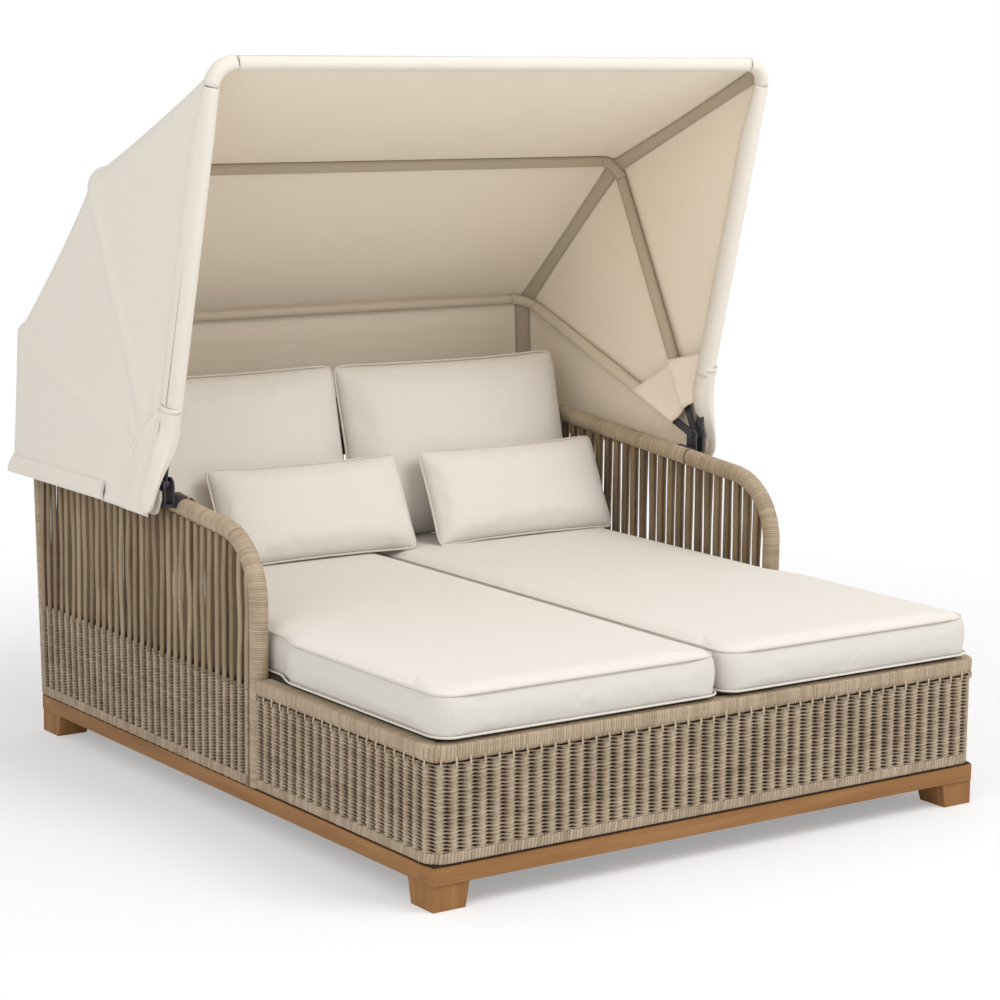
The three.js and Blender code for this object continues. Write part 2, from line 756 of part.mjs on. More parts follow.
// Rings of a knife-edged cushion: share of the outline's size, share of the half thickness
const pillowRingShares = [[0.22, 1], [0.46, 0.94], [0.68, 0.79], [0.85, 0.55], [0.95, 0.3], [1, 0.02]];

function pillow(width, height, thickness, radius, pull) {
  const base = withSidePoints(roundedRectangle(width / 2, height / 2, radius, 2), height / 3);
  const pulled = base.map(([x, z]) => {
    const [u, v] = [(2 * x) / width, (2 * z) / height];
    return [x - pull * Math.sign(u) * (1 - v * v) * u * u, z - pull * Math.sign(v) * (1 - u * u) * v * v];
  });
  const half = thickness / 2;
  const ring = (size, swell) => pulled.map(([x, z]) => new THREE.Vector3(x * size, swell * half, z * size));
  const rear = pillowRingShares.map(([size, swell]) => ring(size, swell));
  const front = [...pillowRingShares].reverse().map(([size, swell]) => ring(size, -swell));
  return ringSolid([...rear, ...front]);
}

function addCushions() {
  for (const [side, direction] of [['left', -1], ['right', 1]]) {
    addPiece(`${side}_seat_cushion`, seatCushion(direction), cushionFabric);
    const cushion = pillow(backCushionWidth, backCushionHeight, backCushionThickness, backCushionRadius,
      backCushionPull);
    cushion.translate(0, 0, backCushionHeight / 2);
    cushion.rotateX(-THREE.MathUtils.degToRad(backCushionLean));
    const x = (direction * (backCushionWidth + cushionSideGap)) / 2;
    cushion.translate(x, backCushionFootY, seatTop + fitGap - backCushionSink);
    addPiece(`${side}_back_cushion`, cushion, cushionFabric);
  }
  const lumbarY = backCushionFootY - (backCushionThickness + lumbarThickness) / 2 - lumbarStandoff;
  const places = [['left', leftLumbarX, leftLumbarSink], ['right', rightLumbarX, rightLumbarSink]];
  for (const [side, x, sink] of places) {
    const cushion = pillow(lumbarWidth, lumbarHeight, lumbarThickness, lumbarRadius, lumbarPull);
    cushion.translate(0, 0, lumbarHeight / 2);
    cushion.rotateX(-THREE.MathUtils.degToRad(lumbarLean));
    cushion.translate(x, lumbarY, seatTop + fitGap - sink);
    addPiece(`${side}_lumbar_pillow`, cushion, cushionFabric);
  }
}

// Canopy bows: each a bent tube with a flat tongue in both ends, built upright and turned to its angle
function bowGroup(bow) {
  const group = new THREE.Group();
  group.position.set(0, pivotY, pivotZ);
  group.rotation.x = THREE.MathUtils.degToRad(bow.angle - 90);
  model.add(group);
  return group;
}

function tongue(bow, direction) {
  const half = (bow.diameter - tongueEdge) / 2;
  const length = bowTubeStart + tongueOverlap;
  const outline = [...arcPoints(0, 0, half, 180, 360, 2 * roundSteps), [half, length], [-half, length]];
  const shape = new THREE.Shape(outline.map(([y, z]) => new THREE.Vector2(y, z)));
  const bore = arcPoints(0, 0, boltRadius + boltClearance, 360, 0, boltSides).slice(1);
  shape.holes.push(new THREE.Path(bore.map(([y, z]) => new THREE.Vector2(y, z))));
  const plate = new THREE.ExtrudeGeometry(shape, { depth: tongueThickness, bevelEnabled: false });
  const axes = new THREE.Matrix4().makeBasis(
    new THREE.Vector3(0, 1, 0), new THREE.Vector3(0, 0, 1), new THREE.Vector3(1, 0, 0));
  const x = direction * (bowPlaneX + bow.layer * tonguePitch) - tongueThickness / 2;
  return plate.applyMatrix4(axes).translate(x, 0, 0);
}

function bowSolid(bow) {
  const corner = (x, z) => new THREE.Vector3(x, 0, z);
  const line = [
    corner(-bowPlaneX, bowTubeStart), corner(-bowPlaneX, bow.reach), corner(bowPlaneX, bow.reach),
    corner(bowPlaneX, bowTubeStart),
  ];
  const section = roundSection(bow.diameter / 2, tubeSides, bow.diameter / 2 - bowTubeWall);
  const tube = swept(section, filleted(line, [bowCornerRadius, bowCornerRadius]));
  return joined([tube, tongue(bow, -1), tongue(bow, 1)]);
}

function addBows() {
  for (const [name, bow] of [['front_bow', frontBow], ['middle_bow', middleBow], ['rear_bow', rearBow]]) {
    addPiece(name, geometryOf(bowSolid(bow)), darkMetal, bowGroup(bow));
  }
}

// Pivot brackets: a saddle over the arm rail, a web out to two cheeks, and the bolt through the stack
function barAlongX(radius, lowX, highX, sides) {
  return new THREE.CylinderGeometry(radius, radius, highX - lowX, sides)
    .rotateZ(Math.PI / 2).translate((lowX + highX) / 2, 0, 0);
}

function bracketSolid() {
  const railZ = armCentreHeight(pivotY) - pivotZ;
  const slope = Math.atan(armRiseShare);
  const outerRadius = armRadius + fitGap + saddleWall;
  const half = saddleLength / 2;
  const saddleShape = new THREE.Shape(
    arcPoints(0, 0, outerRadius, 0, 180, 2 * bendSteps).map(([x, z]) => new THREE.Vector2(x, z)));
  const saddle = new THREE.ExtrudeGeometry(saddleShape, { depth: saddleLength, bevelEnabled: false })
    .rotateX(Math.PI / 2).translate(0, half, 0).rotateX(slope).translate(armX, 0, railZ);
  const clearance = new THREE.CylinderGeometry(armRadius + fitGap, armRadius + fitGap,
    saddleLength + 2 * cutOverrun, 2 * railSides).rotateX(slope).translate(armX, 0, railZ);
  const cheekTop = arcPoints(0, 0, cheekLength / 2, 0, 180, bendSteps);
  const cheekOutline = [...cheekTop, [-cheekLength / 2, railZ], [cheekLength / 2, railZ]];
  const cheeks = [-stackHalf - cheekThickness, stackHalf].map((x) =>
    sidePrism(cheekOutline, bowPlaneX + x, bowPlaneX + x + cheekThickness));
  const web = block([armX, -cheekLength / 2, railZ],
    [bowPlaneX + stackHalf + cheekThickness, cheekLength / 2, railZ + webHeight]);
  const reach = stackHalf + cheekThickness + cutOverrun;
  const bore = barAlongX(boltRadius + boltClearance, bowPlaneX - reach, bowPlaneX + reach, boltSides);
  return joined([saddle, web, ...cheeks]).subtract(solidOf(clearance)).subtract(solidOf(bore));
}

function boltGeometry() {
  const end = boltGrip + boltHeadThickness;
  const profile = [
    [0, -end], [boltHeadRadius, -end], [boltHeadRadius, -boltGrip], [boltRadius, -boltGrip],
    [boltRadius, boltGrip], [boltHeadRadius, boltGrip], [boltHeadRadius, end], [0, end],
  ].map(([r, along]) => new THREE.Vector2(r, along));
  return new THREE.LatheGeometry(profile, boltSides).rotateZ(-Math.PI / 2).translate(bowPlaneX, 0, 0);
}

function mirrored(geometry) {
  const flipped = geometry.clone().scale(-1, 1, 1);
  const order = flipped.index.array;
  for (let k = 0; k < order.length; k += 3) {
    [order[k + 1], order[k + 2]] = [order[k + 2], order[k + 1]];
  }
  return flipped;
}

function addPivots() {
  const bracket = geometryOf(bracketSolid());
  const bolt = geometryOf(solidOf(boltGeometry()));
  for (const [side, shaped] of [['left', mirrored], ['right', (geometry) => geometry]]) {
    addPiece(`${side}_pivot_bracket`, shaped(bracket), darkMetal).position.set(0, pivotY, pivotZ);
    addPiece(`${side}_pivot_bolt`, shaped(bolt), darkMetal).position.set(0, pivotY, pivotZ);
  }
}

// Canopy fabric: closed thin sheets between the bows, and a curtain from the rear bow to the hem
const legShares = [0, 0.2, 0.45, 0.7, 0.88, 1];
const topShares = [0.14, 0.32, 0.5, 0.68, 0.86];
const sideSagShare = 0.5;

function bowTop(bow) {
  const angle = THREE.MathUtils.degToRad(bow.angle);
  return new THREE.Vector2(bow.reach * Math.cos(angle), bow.reach * Math.sin(angle));
}

// Direction, in the YZ plane, in which the fabric stands off a bow: the mean of the two faces there.
function standOff(bow) {
  const backwards = new THREE.Vector2(1, 0);
  const faceAfter = (from, to) => {
    const run = bowTop(to).sub(bowTop(from)).normalize();
    return new THREE.Vector2(-run.y, run.x);
  };
  const frontFace = faceAfter(frontBow, middleBow);
  const middleFace = faceAfter(middleBow, rearBow);
  const faces = { 1: [frontFace, frontFace], 0: [frontFace, middleFace], [-1]: [middleFace, backwards] };
  const [before, after] = faces[bow.layer];
  return before.clone().add(after).normalize();
}

// Stations of a bow's centre line from the left leg over the top to the right one, with their outward sides.
function bowStations(bow, innerReach) {
  const legTop = bow.reach - bowCornerRadius;
  const leg = legShares.map((share) => [-bowPlaneX, innerReach + (legTop - innerReach) * share, -1, 0]);
  const bend = arcPoints(bowCornerRadius - bowPlaneX, legTop, bowCornerRadius, 180, 90, bendSteps).slice(1)
    .map(([x, reach]) => [x, reach, (x - bowCornerRadius + bowPlaneX) / bowCornerRadius,
      (reach - legTop) / bowCornerRadius]);
  const halfTop = bowPlaneX - bowCornerRadius;
  const across = topShares.map((share) => [halfTop * (2 * share - 1), bow.reach, 0, 1]);
  const left = [...leg, ...bend];
  const right = [...left].reverse().map(([x, reach, outX, outUp]) => [-x, reach, -outX, outUp]);
  return [...left, ...across, ...right];
}

// The fabric's line over a bow. Its legs spread towards the pivot, to pass outside the arm rails.
function fabricLine(bow, innerReach, shift) {
  const angle = THREE.MathUtils.degToRad(bow.angle);
  const offset = bow.diameter / 2 + canopyTubeGap;
  const away = standOff(bow);
  const legTop = bow.reach - bowCornerRadius;
  const spread = canopyPivotX - bowPlaneX - offset;
  return bowStations(bow, innerReach).map(([x, reach, outX, outUp]) => {
    const lowness = THREE.MathUtils.clamp(1 - reach / legTop, 0, 1);
    const point = new THREE.Vector3(
      x + outX * (offset + spread * lowness),
      pivotY + reach * Math.cos(angle) + outUp * offset * away.x + shift * Math.sin(angle),
      pivotZ + reach * Math.sin(angle) + outUp * offset * away.y - shift * Math.cos(angle),
    );
    const outward = new THREE.Vector3(outX, outUp * away.x, outUp * away.y);
    const sag = canopySag * (outUp + (1 - outUp) * sideSagShare) * (1 - lowness);
    return { point, outward, sag };
  });
}

// A thin closed solid from rows of points: rows run front to back, points left to right.
function sheetSolid(rows, thickness) {
  const across = rows[0].length;
  const within = (k, count) => Math.min(Math.max(k, 0), count - 1);
  const at = (j, i) => rows[within(j, rows.length)][within(i, across)];
  const inner = [];
  const outer = [];
  rows.forEach((row, j) => row.forEach((point, i) => {
    const alongX = at(j, i + 1).clone().sub(at(j, i - 1));
    const alongY = at(j + 1, i).clone().sub(at(j - 1, i));
    inner.push(point);
    outer.push(point.clone().addScaledVector(alongX.cross(alongY).normalize(), thickness));
  }));
  const shift = inner.length;
  const faces = [];
  const quad = (a, b, c, d) => faces.push(a, b, c, a, c, d);
  const id = (j, i) => j * across + i;
  for (let j = 0; j < rows.length - 1; j += 1) {
    for (let i = 0; i < across - 1; i += 1) {
      const [a, b, c, d] = [id(j, i), id(j, i + 1), id(j + 1, i + 1), id(j + 1, i)];
      quad(a + shift, b + shift, c + shift, d + shift);
      quad(d, c, b, a);
    }
  }
  const last = rows.length - 1;
  for (let i = 0; i < across - 1; i += 1) {
    quad(id(0, i), id(0, i + 1), id(0, i + 1) + shift, id(0, i) + shift);
    quad(id(last, i + 1), id(last, i), id(last, i) + shift, id(last, i + 1) + shift);
  }
  for (let j = 0; j < last; j += 1) {
    quad(id(j + 1, 0), id(j, 0), id(j, 0) + shift, id(j + 1, 0) + shift);
    const [near, far] = [id(j, across - 1), id(j + 1, across - 1)];
    quad(near, far, far + shift, near + shift);
  }
  const geometry = new THREE.BufferGeometry().setFromPoints([...inner, ...outer]);
  geometry.setIndex(faces);
  geometry.computeVertexNormals();
  return geometry;
}

const panelShares = [0, 0.25, 0.5, 0.75, 1];

function canopyPanel(from, to) {
  const start = fabricLine(from, canopyInnerReach, seamGap / 2);
  const end = fabricLine(to, canopyInnerReach, -seamGap / 2);
  const rows = panelShares.map((share) => start.map((station, k) => {
    const depth = 4 * share * (1 - share) * station.sag;
    const outward = station.outward.clone().lerp(end[k].outward, share).normalize();
    return station.point.clone().lerp(end[k].point, share).addScaledVector(outward, -depth);
  }));
  return sheetSolid(rows, canopyThickness);
}

// The curtain hangs from the rear bow: outside the arms at the sides and behind the back.
function canopyCurtain() {
  const line = fabricLine(rearBow, -flapReach, seamGap / 2);
  const frontY = line[0].point.y;
  const rows = panelShares.map((share) => line.map(({ point, outward }) => {
    const ahead = Math.max(0, 1 - (point.y - frontY) / flapCornerRadius);
    const lift = flapCornerRadius * (1 - Math.sqrt(1 - ahead * ahead));
    const flare = hemFlare * share ** 2;
    const side = Math.abs(outward.x);
    const sideX = Math.sign(point.x) * canopyPivotX * side + point.x * (1 - side);
    return new THREE.Vector3(
      point.x + (sideX - point.x) * share,
      point.y + flare * (1 - side),
      point.z + (hemHeight + lift - point.z) * share,
    );
  }));
  return sheetSolid(rows, canopyThickness);
}

function addCanopy() {
  addPiece('front_canopy_panel', canopyPanel(frontBow, middleBow), canopyFabric);
  addPiece('middle_canopy_panel', canopyPanel(middleBow, rearBow), canopyFabric);
  addPiece('rear_canopy_curtain', canopyCurtain(), canopyFabric);
}

addPlinth();
addFeet();
addBaseBars();
addFrames();
addWovenBox();
addRim();
addArmInfill();
addBackInfill();
addDeck();
addBackrest();
addCushions();
addBows();
addPivots();
addCanopy();

// The part's origin is on the floor under the middle of its whole outline.
const part = new THREE.Group();
part.add(model);
part.updateMatrixWorld(true);
const outline = new THREE.Box3().setFromObject(part);
model.position.y = -(outline.min.y + outline.max.y) / 2;

export default part;
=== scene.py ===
import math

import bpy
import numpy as np
from mathutils import Matrix, Vector


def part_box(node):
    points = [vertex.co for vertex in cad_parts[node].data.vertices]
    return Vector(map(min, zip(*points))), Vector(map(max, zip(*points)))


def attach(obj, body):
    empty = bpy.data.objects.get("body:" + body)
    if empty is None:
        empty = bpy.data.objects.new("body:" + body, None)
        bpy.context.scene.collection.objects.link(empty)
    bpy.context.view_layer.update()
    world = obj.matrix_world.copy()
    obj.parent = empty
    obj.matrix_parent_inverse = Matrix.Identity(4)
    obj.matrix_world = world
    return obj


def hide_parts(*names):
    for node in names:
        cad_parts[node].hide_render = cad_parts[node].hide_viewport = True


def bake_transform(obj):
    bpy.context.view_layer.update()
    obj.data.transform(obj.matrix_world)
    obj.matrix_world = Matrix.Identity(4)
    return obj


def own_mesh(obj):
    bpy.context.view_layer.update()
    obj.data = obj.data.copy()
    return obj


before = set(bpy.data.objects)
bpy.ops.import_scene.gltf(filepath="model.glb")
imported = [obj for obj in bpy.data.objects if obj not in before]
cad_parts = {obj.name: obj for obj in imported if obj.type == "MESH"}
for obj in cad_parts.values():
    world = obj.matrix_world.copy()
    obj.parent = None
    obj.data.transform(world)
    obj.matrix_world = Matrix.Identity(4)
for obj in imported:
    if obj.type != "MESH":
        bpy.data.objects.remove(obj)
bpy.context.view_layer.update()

TAU = 2 * math.pi
X_AXIS = np.array([1.0, 0.0, 0.0])
Y_AXIS = np.array([0.0, 1.0, 0.0])
Z_AXIS = np.array([0.0, 0.0, 1.0])
ORIGIN_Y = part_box("front_rim")[0][1] + 0.948  # the plinth's middle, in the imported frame
SIDES = (("left", -1), ("right", 1))

# Sizes repeated from the part's source, in metres
ARM_X = 0.783
ARM_RADIUS = 0.023
ARM_POST_Y = ORIGIN_Y - 0.185
ARM_SLOPE = 0.09
ARM_BEND = 0.165
PIVOT = np.array([0.0, ORIGIN_Y + 0.190, 0.772])
BODY_BOTTOM = 0.103
RIM_BOTTOM = 0.324
RIM_TOP = 0.366
BAND_TOP = 0.345
BOX_HALF_WIDTH = 0.806
BOX_FRONT_Y = ORIGIN_Y - 0.948
BACK_FOOT_Y = ORIGIN_Y + 0.933
BACK_RAKE = 0.0526
SADDLE_HALF_LENGTH = 0.031
BOW_X = 0.823
CLOTH_X = 0.847
BOW_BEND = 0.055
HEM_Z = 0.700
THIN_BOW_RADIUS = 0.0125
REAR_BOW_ANGLE = 20.9
REAR_BOW_Y = float(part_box("rear_bow")[1][1] - PIVOT[1] - THIN_BOW_RADIUS)
# Each bow's reach from the pivot, its angle above the level, to the rear, in degrees, and its tube's radius.
BOWS = {
    "front_bow": (1.042, 104.0, 0.015),
    "middle_bow": (0.826, 62.7, THIN_BOW_RADIUS),
    "rear_bow": (REAR_BOW_Y / math.cos(math.radians(REAR_BOW_ANGLE)), REAR_BOW_ANGLE, THIN_BOW_RADIUS),
}

# Sizes of woven work and wound bars
FOOT_LEVEL = BODY_BOTTOM + 0.0003
BAND_HEIGHT = BAND_TOP - BODY_BOTTOM
STAKE_PITCH = 0.0372
BOX_CORNER = 0.05
BOX_ROW = 0.0042
BOX_TUCK = 0.004
BOX_INSET = 0.0035
BACKING_DEPTH = 0.0085
BAND_BACKING_DEPTH = 0.0105
ARM_BAND_ROW = 0.0038
BACK_BAND_ROW = 0.005
ROW_DRIFT = 0.00028
ROW_HALF_THICKNESS = 0.0021
BORDER_HEIGHT = 0.025
BORDER_TURN = 0.0088
WRAP_WOBBLE = 0.004
WRAP_SINK = 0.35
WRAP_TONES = (0.46, 0.76)
RIM_WIDTH = 0.046
RIM_TURN = 0.0072
# The stakes' ends over the rim's foot: their radius, where they start, and how high they may reach.
STAKE_END_RADIUS = 0.0023
STAKE_END_START = -0.006
STAKE_END_REACH = (0.009, 0.017)
ARM_TURN = 0.0054
BACK_TURN = 0.0052
BACK_RADIUS = 0.017
SADDLE_TURNS = 9
SADDLE_POINTS = 26
SADDLE_RADIUS = 0.0240
SADDLE_RISE = 0.0046
SADDLE_STRAND_HALF = 0.0016

# Sizes of the hanging strands. For each arm: their number, and where the inner layer starts, in spacings.
STRANDS = {"left": (32, 1.0), "right": (27, 1.27)}
# The outer and the inner layer: x of head and foot, and half a strand's width across and along the arm.
STRAND_LAYERS = ((0.8000, 0.8000, 0.0048, 0.0083), (0.7785, 0.7820, 0.0045, 0.0102))
STRAND_START = 0.010
STRAND_STOP = 0.028
STRAND_TUCK = 0.012
STRAND_LEAN = 0.0016
STRAND_SWAY = 0.0021
BACK_STRANDS = 42
BACK_STRAND_TOP = 0.779
BACK_STRAND_RADIUS = 0.005
BACK_STRAND_OFFSET = 0.006
BACK_STRAND_SWAY = 0.0028
BACK_BAND_OFFSET = 0.0085
ARM_BAND_X = 0.8045
ARM_BORDER_X = 0.8015
SHADE_X = 0.770
SHADE_HEIGHT = 0.055

# Width of the softened edges of the plain solids
RAIL_EDGE = 0.003
FOOT_EDGE = 0.004
BAR_EDGE = 0.001
TUBE_EDGE = 0.002
BRACKET_EDGE = 0.0008

# Sizes of the cushions
SEAT_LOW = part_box("left_seat_cushion")[0][2]
SEAT_INNER_X = 0.0020
SEAT_OUTER_X = 0.7560
SEAT_CORNER = 0.05
SEAT_FLARE = 0.0285
SEAT_FRONT_GAP = 0.0036
SEAT_REAR_GAP = 0.0006
SEAT_MOVE = 0.006
SEAT_VOXEL = 0.009
SEAT_PIPING_RADIUS = 0.0027
# Inset and height of a seat cushion's upper and lower seam.
SEAT_SEAMS = ((0.0105, 0.0985), (0.0012, 0.0095))
# For each kind of pillow: width, height and thickness, lean in degrees, mesh cell, the most that a point may
# move, and the seed.
PILLOWS = {
    "back_cushion": ((0.736, 0.500, 0.170), 15.5, 0.0125, 0.013, 81),
    "lumbar_pillow": ((0.586, 0.272, 0.116), 26.0, 0.0095, 0.010, 91),
}
PILLOW_PULL = 0.004
PILLOW_FRAMES = 18
PILLOW_PRESSURE = 5.0
PILLOW_PIPING_RADIUS = 0.0032
MIDDLE_GAP = 0.0036

# Sizes of the canopy's cloth, and the points on a bow's leg, bend and top
LEG_STEPS = 44
BEND_STEPS = 10
TOP_STEPS = 60
PANEL_START = 0.032
PANEL_STEPS = 37
BLEND_SHARE = 0.95
CLOTH_GAP = 0.002
CLOTH_SAG = 0.009
CANOPY_THICKNESS = 0.0018
TRIM_THICKNESS = 0.002
RIDGE = 0.0080
RIDGE_WIDTH = 0.021
JOIN_WIDTH = 0.009
BOW_STEP = 0.004
SLEEVE_STEP = 0.008
SLEEVE_SIDES = 20
LEG_GROWTH = 0.16
TAIL_LEVEL = 0.0190
# For each bow: where its sleeve ends, the gaps at the lower and the upper end of its bends, and the sleeve's
# half width across and through, with its shift to the rear, for its legs, its bends and its top.
SLEEVES = {
    "front_bow": (0.175, (0.0012, 0.0035), (0.0285, 0.0228, -0.0090), (0.0190, 0.0188, -0.0005),
                  (0.0176, 0.0172, 0.0)),
    "middle_bow": (0.150, (0.0, 0.0), (0.0165, 0.0142, 0.0), (0.0150, 0.0146, 0.0), (0.0150, 0.0150, 0.0)),
    "rear_bow": (0.120, (0.0, 0.0), (0.0165, 0.0142, 0.0), (0.0150, 0.0146, 0.0), (0.0150, 0.0150, 0.0)),
}
GORE_EDGES = (0, 4, 8, 13, 19, 26, 34, LEG_STEPS - 1)

# Sizes of the curtain and its hem
CURTAIN_ROWS = 40
CURTAIN_START = -0.030
CURTAIN_CORNER = 0.042
CURTAIN_FOLD = 0.0035
CURTAIN_FLARE = 0.012
HEM_HEIGHT = 0.048
HEM_STEPS = 9
HEM_SWELL = 0.0080
HEM_CORNER_SWELL = 0.014

# Sizes of the pouches, tapes, patches and flaps. A pouch starts and ends at distances along its bow.
POUCH_START = 0.205
POUCH_END = -0.068
POUCH_RINGS = 40
POUCH_SIDES = 28
POUCH_HALF_WIDTH = 0.0300
POUCH_HALF_DEPTH = 0.0245
POUCH_FOLD = 0.0022
POUCH_OUTWARD = 0.046
TAPE_DEPTH = 0.0055
CURTAIN_TAPE_DEPTH = 0.0045
PATCH_COLUMNS = 11
PATCH_STEPS = 15
PATCH_TURN = np.array([0.004, 0.009, 0.013])
PATCH_LIFT = 0.0175
PATCH_SLING = 0.007
# A flap's upper and lower edge: y of the front and the rear corner, and height.
FLAP_TOP = (0.112, 0.160, 0.968)
FLAP_FOOT = (0.158, 0.430, 0.697)
FLAP_ROWS = 34
FLAP_COLUMNS = 30
FLAP_OFFSET = 0.0075
FLAP_FOLDS = (0.0044, 0.0020)
FLAP_FLARE = 0.0160
FLAP_TOP_TUCK = 0.0120
FLAP_REAR_TUCK = 0.0095

# Light, floor and camera. A lamp has its place, its side in metres and its power in watts.
LAMPS = (("key", (1.85, -3.85, 5.2), 3.2, 184.0), ("fill", (-4.5, -2.5, 3.0), 3.5, 68.0))
LAMP_TARGET = (0, 0, 0.6)
WORLD_LEVEL = 0.74
FLOOR_HALF = 30.0
FLOOR_FADE = (1.25, 3.4)
FLOOR_LEAST_WHITE = 0.32
CAMERA_ANGLES = (-35.2504, 9.5857, 0.6357)
CAMERA_PLACE = (-3.9504, -5.6738, 1.8531)
CAMERA_LENS = 99.17


def arm_height(y):
    """Height of an arm rail's centre line over y."""
    return 0.719 + ARM_SLOPE * (y - PIVOT[1])


def back_y(z):
    """The raked back frame's centre line at height z."""
    return BACK_FOOT_Y + BACK_RAKE * (z - BODY_BOTTOM)


# Shapes
def unit(v):
    v = np.asarray(v, float)
    return v / np.maximum(np.linalg.norm(v, axis=-1, keepdims=True), 1e-12)


def smooth(t):
    t = np.clip(t, 0, 1)
    return t * t * (3 - 2 * t)


def grid_faces(rows, columns, close_rows=False, close_columns=False):
    """Quads over a grid of points that is numbered row by row."""
    r = np.arange(rows if close_rows else rows - 1)
    c = np.arange(columns if close_columns else columns - 1)
    r0, c0 = np.meshgrid(r, c, indexing="ij")
    r1, c1 = (r0 + 1) % rows, (c0 + 1) % columns
    corners = [r0 * columns + c0, r0 * columns + c1, r1 * columns + c1, r1 * columns + c0]
    return np.stack(corners, -1).reshape(-1, 4)


class Shape:
    """Points and faces gathered for one piece, with a tint for every point and a material for every face."""

    def __init__(self):
        self.points, self.tints, self.normals = [], [], []
        self.faces, self.slots, self.rounded = [], [], []
        self.count = 0

    def add(self, points, faces, tint=0.5, slot=0, normals=None):
        """Adds points and the faces on them."""
        points = np.asarray(points, float).reshape(-1, 3)
        self.points.append(points)
        if normals is not None:
            self.normals.append(normals)
        self.tints.append(np.broadcast_to(np.asarray(tint, float), (len(points),)))
        self.count += len(points)
        self.join(faces, len(points), slot)

    def join(self, faces, back, slot, rounded=True):
        """Adds faces on the last points that were added, numbered from so many points back.

        A face that isn't rounded is shaded flat, with hard edges.
        """
        for part in faces:
            self.faces.append(np.asarray(part) + self.count - back)
            self.slots.append(np.full(len(part), slot))
            self.rounded.append(np.full(len(part), rounded))

    def tube(self, rings, tint=0.5, slot=0, closed=False):
        """A skin over rings of points, shaped (rings, sides, 3); a tint may be given for each ring."""
        count, sides = rings.shape[:2]
        faces = [grid_faces(count, sides, closed, True)]
        if not closed:
            last = (count - 1) * sides
            faces.append(np.arange(sides)[::-1][None])
            faces.append(last + np.arange(sides)[None])
        if np.ndim(tint) == 1:
            tint = np.repeat(tint, sides)
        self.add(rings, faces, tint, slot)

    def make(self, name, materials, body):
        """The finished piece, riding on its body, or on none where it is still to be shaped or baked in
        place.
        """
        mesh = bpy.data.meshes.new(name)
        points = np.concatenate(self.points)
        loops = np.concatenate([f.ravel() for f in self.faces]).astype(np.int32)
        sizes = np.concatenate([np.full(len(f), f.shape[1]) for f in self.faces])
        starts = np.concatenate([[0], np.cumsum(sizes)[:-1]]).astype(np.int32)
        mesh.vertices.add(len(points))
        mesh.vertices.foreach_set("co", points.astype(np.float32).ravel())
        mesh.loops.add(len(loops))
        mesh.loops.foreach_set("vertex_index", loops)
        mesh.polygons.add(len(sizes))
        mesh.polygons.foreach_set("loop_start", starts)
        mesh.update(calc_edges=True)
        for each in materials:
            mesh.materials.append(each)
        mesh.polygons.foreach_set("material_index", np.concatenate(self.slots).astype(np.int32))
        mesh.polygons.foreach_set("use_smooth", np.concatenate(self.rounded))
        if self.normals:
            mesh.normals_split_custom_set_from_vertices(np.concatenate(self.normals).tolist())
        tint = mesh.attributes.new("tint", "FLOAT", "POINT")
        tint.data.foreach_set("value", np.concatenate(self.tints).astype(np.float32))
        obj = added(name, mesh)
        if body:
            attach(obj, body)
        return obj


def added(name, data):
    """A new object of the scene."""
    obj = bpy.data.objects.new(name, data)
    bpy.context.scene.collection.objects.link(obj)
    return obj


def lengths(path):
    """The length along a line up to each of its points."""
    steps = np.linalg.norm(np.diff(path, axis=0), axis=1)
    return np.concatenate([[0], np.cumsum(steps)])


def points_at(at, along, path):
    """Values given at the points of a line, taken at other lengths along it."""
    return np.stack([np.interp(at, along, path[:, i]) for i in range(3)], -1)


def resampled(path, spacing):
    """The same line with evenly spaced points."""
    along = lengths(path)
    count = max(2, int(round(along[-1] / spacing)) + 1)
    return points_at(np.linspace(0, along[-1], count), along, path)


def bent(corners, radius, spacing):
    """Evenly spaced points on a line through the corners, each of which is turned with the radius."""
    corners = [np.asarray(c, float) for c in corners]
    points = [corners[0]]
    for before, at, after in zip(corners, corners[1:], corners[2:]):
        one, two = unit(before - at), unit(after - at)
        half = math.acos(np.clip(one @ two, -1, 1)) / 2
        centre = at + unit(one + two) * radius / math.sin(half)
        start = at + one * radius / math.tan(half) - centre
        end = at + two * radius / math.tan(half) - centre
        turn = math.pi - 2 * half
        for share in np.linspace(0, 1, 25):
            mixed = start * math.sin((1 - share) * turn) + end * math.sin(share * turn)
            points.append(centre + mixed / math.sin(turn))
    points.append(corners[-1])
    return resampled(np.array(points), spacing)


def rings_on(path, across, outline):
    """Rings of an outline carried along a path, its first value along across, or level where that is None."""
    tangent = unit(np.gradient(path, axis=0))
    across = unit(np.cross(tangent, Z_AXIS) if across is None else np.broadcast_to(across, path.shape))
    lift = unit(np.cross(tangent, across))
    across = np.cross(lift, tangent)
    outline = np.broadcast_to(outline, (len(path),) + np.shape(outline)[-2:])
    return path[:, None] + outline[..., :1] * across[:, None] + outline[..., 1:] * lift[:, None]


def circle(radius, sides):
    return ellipse(radius, radius, sides)


def ellipse(half_across, half_along, sides=8):
    turn = np.arange(sides) * TAU / sides
    return np.stack([np.cos(turn) * half_across, np.sin(turn) * half_along], -1)


def rounded_outline(width, height, low_radius, high_radius, steps):
    """A rectangle about the origin with rounded corners, counter-clockwise from the lower right one."""
    points = []
    for sx, sy, radius, start in ((1, -1, low_radius, -90), (1, 1, high_radius, 0),
                                  (-1, 1, high_radius, 90), (-1, -1, low_radius, 180)):
        for k in range(steps):
            a = math.radians(start + 90 * k / (steps - 1))
            points.append((sx * (width / 2 - radius) + radius * math.cos(a),
                           sy * (height / 2 - radius) + radius * math.sin(a)))
    return np.array(points)


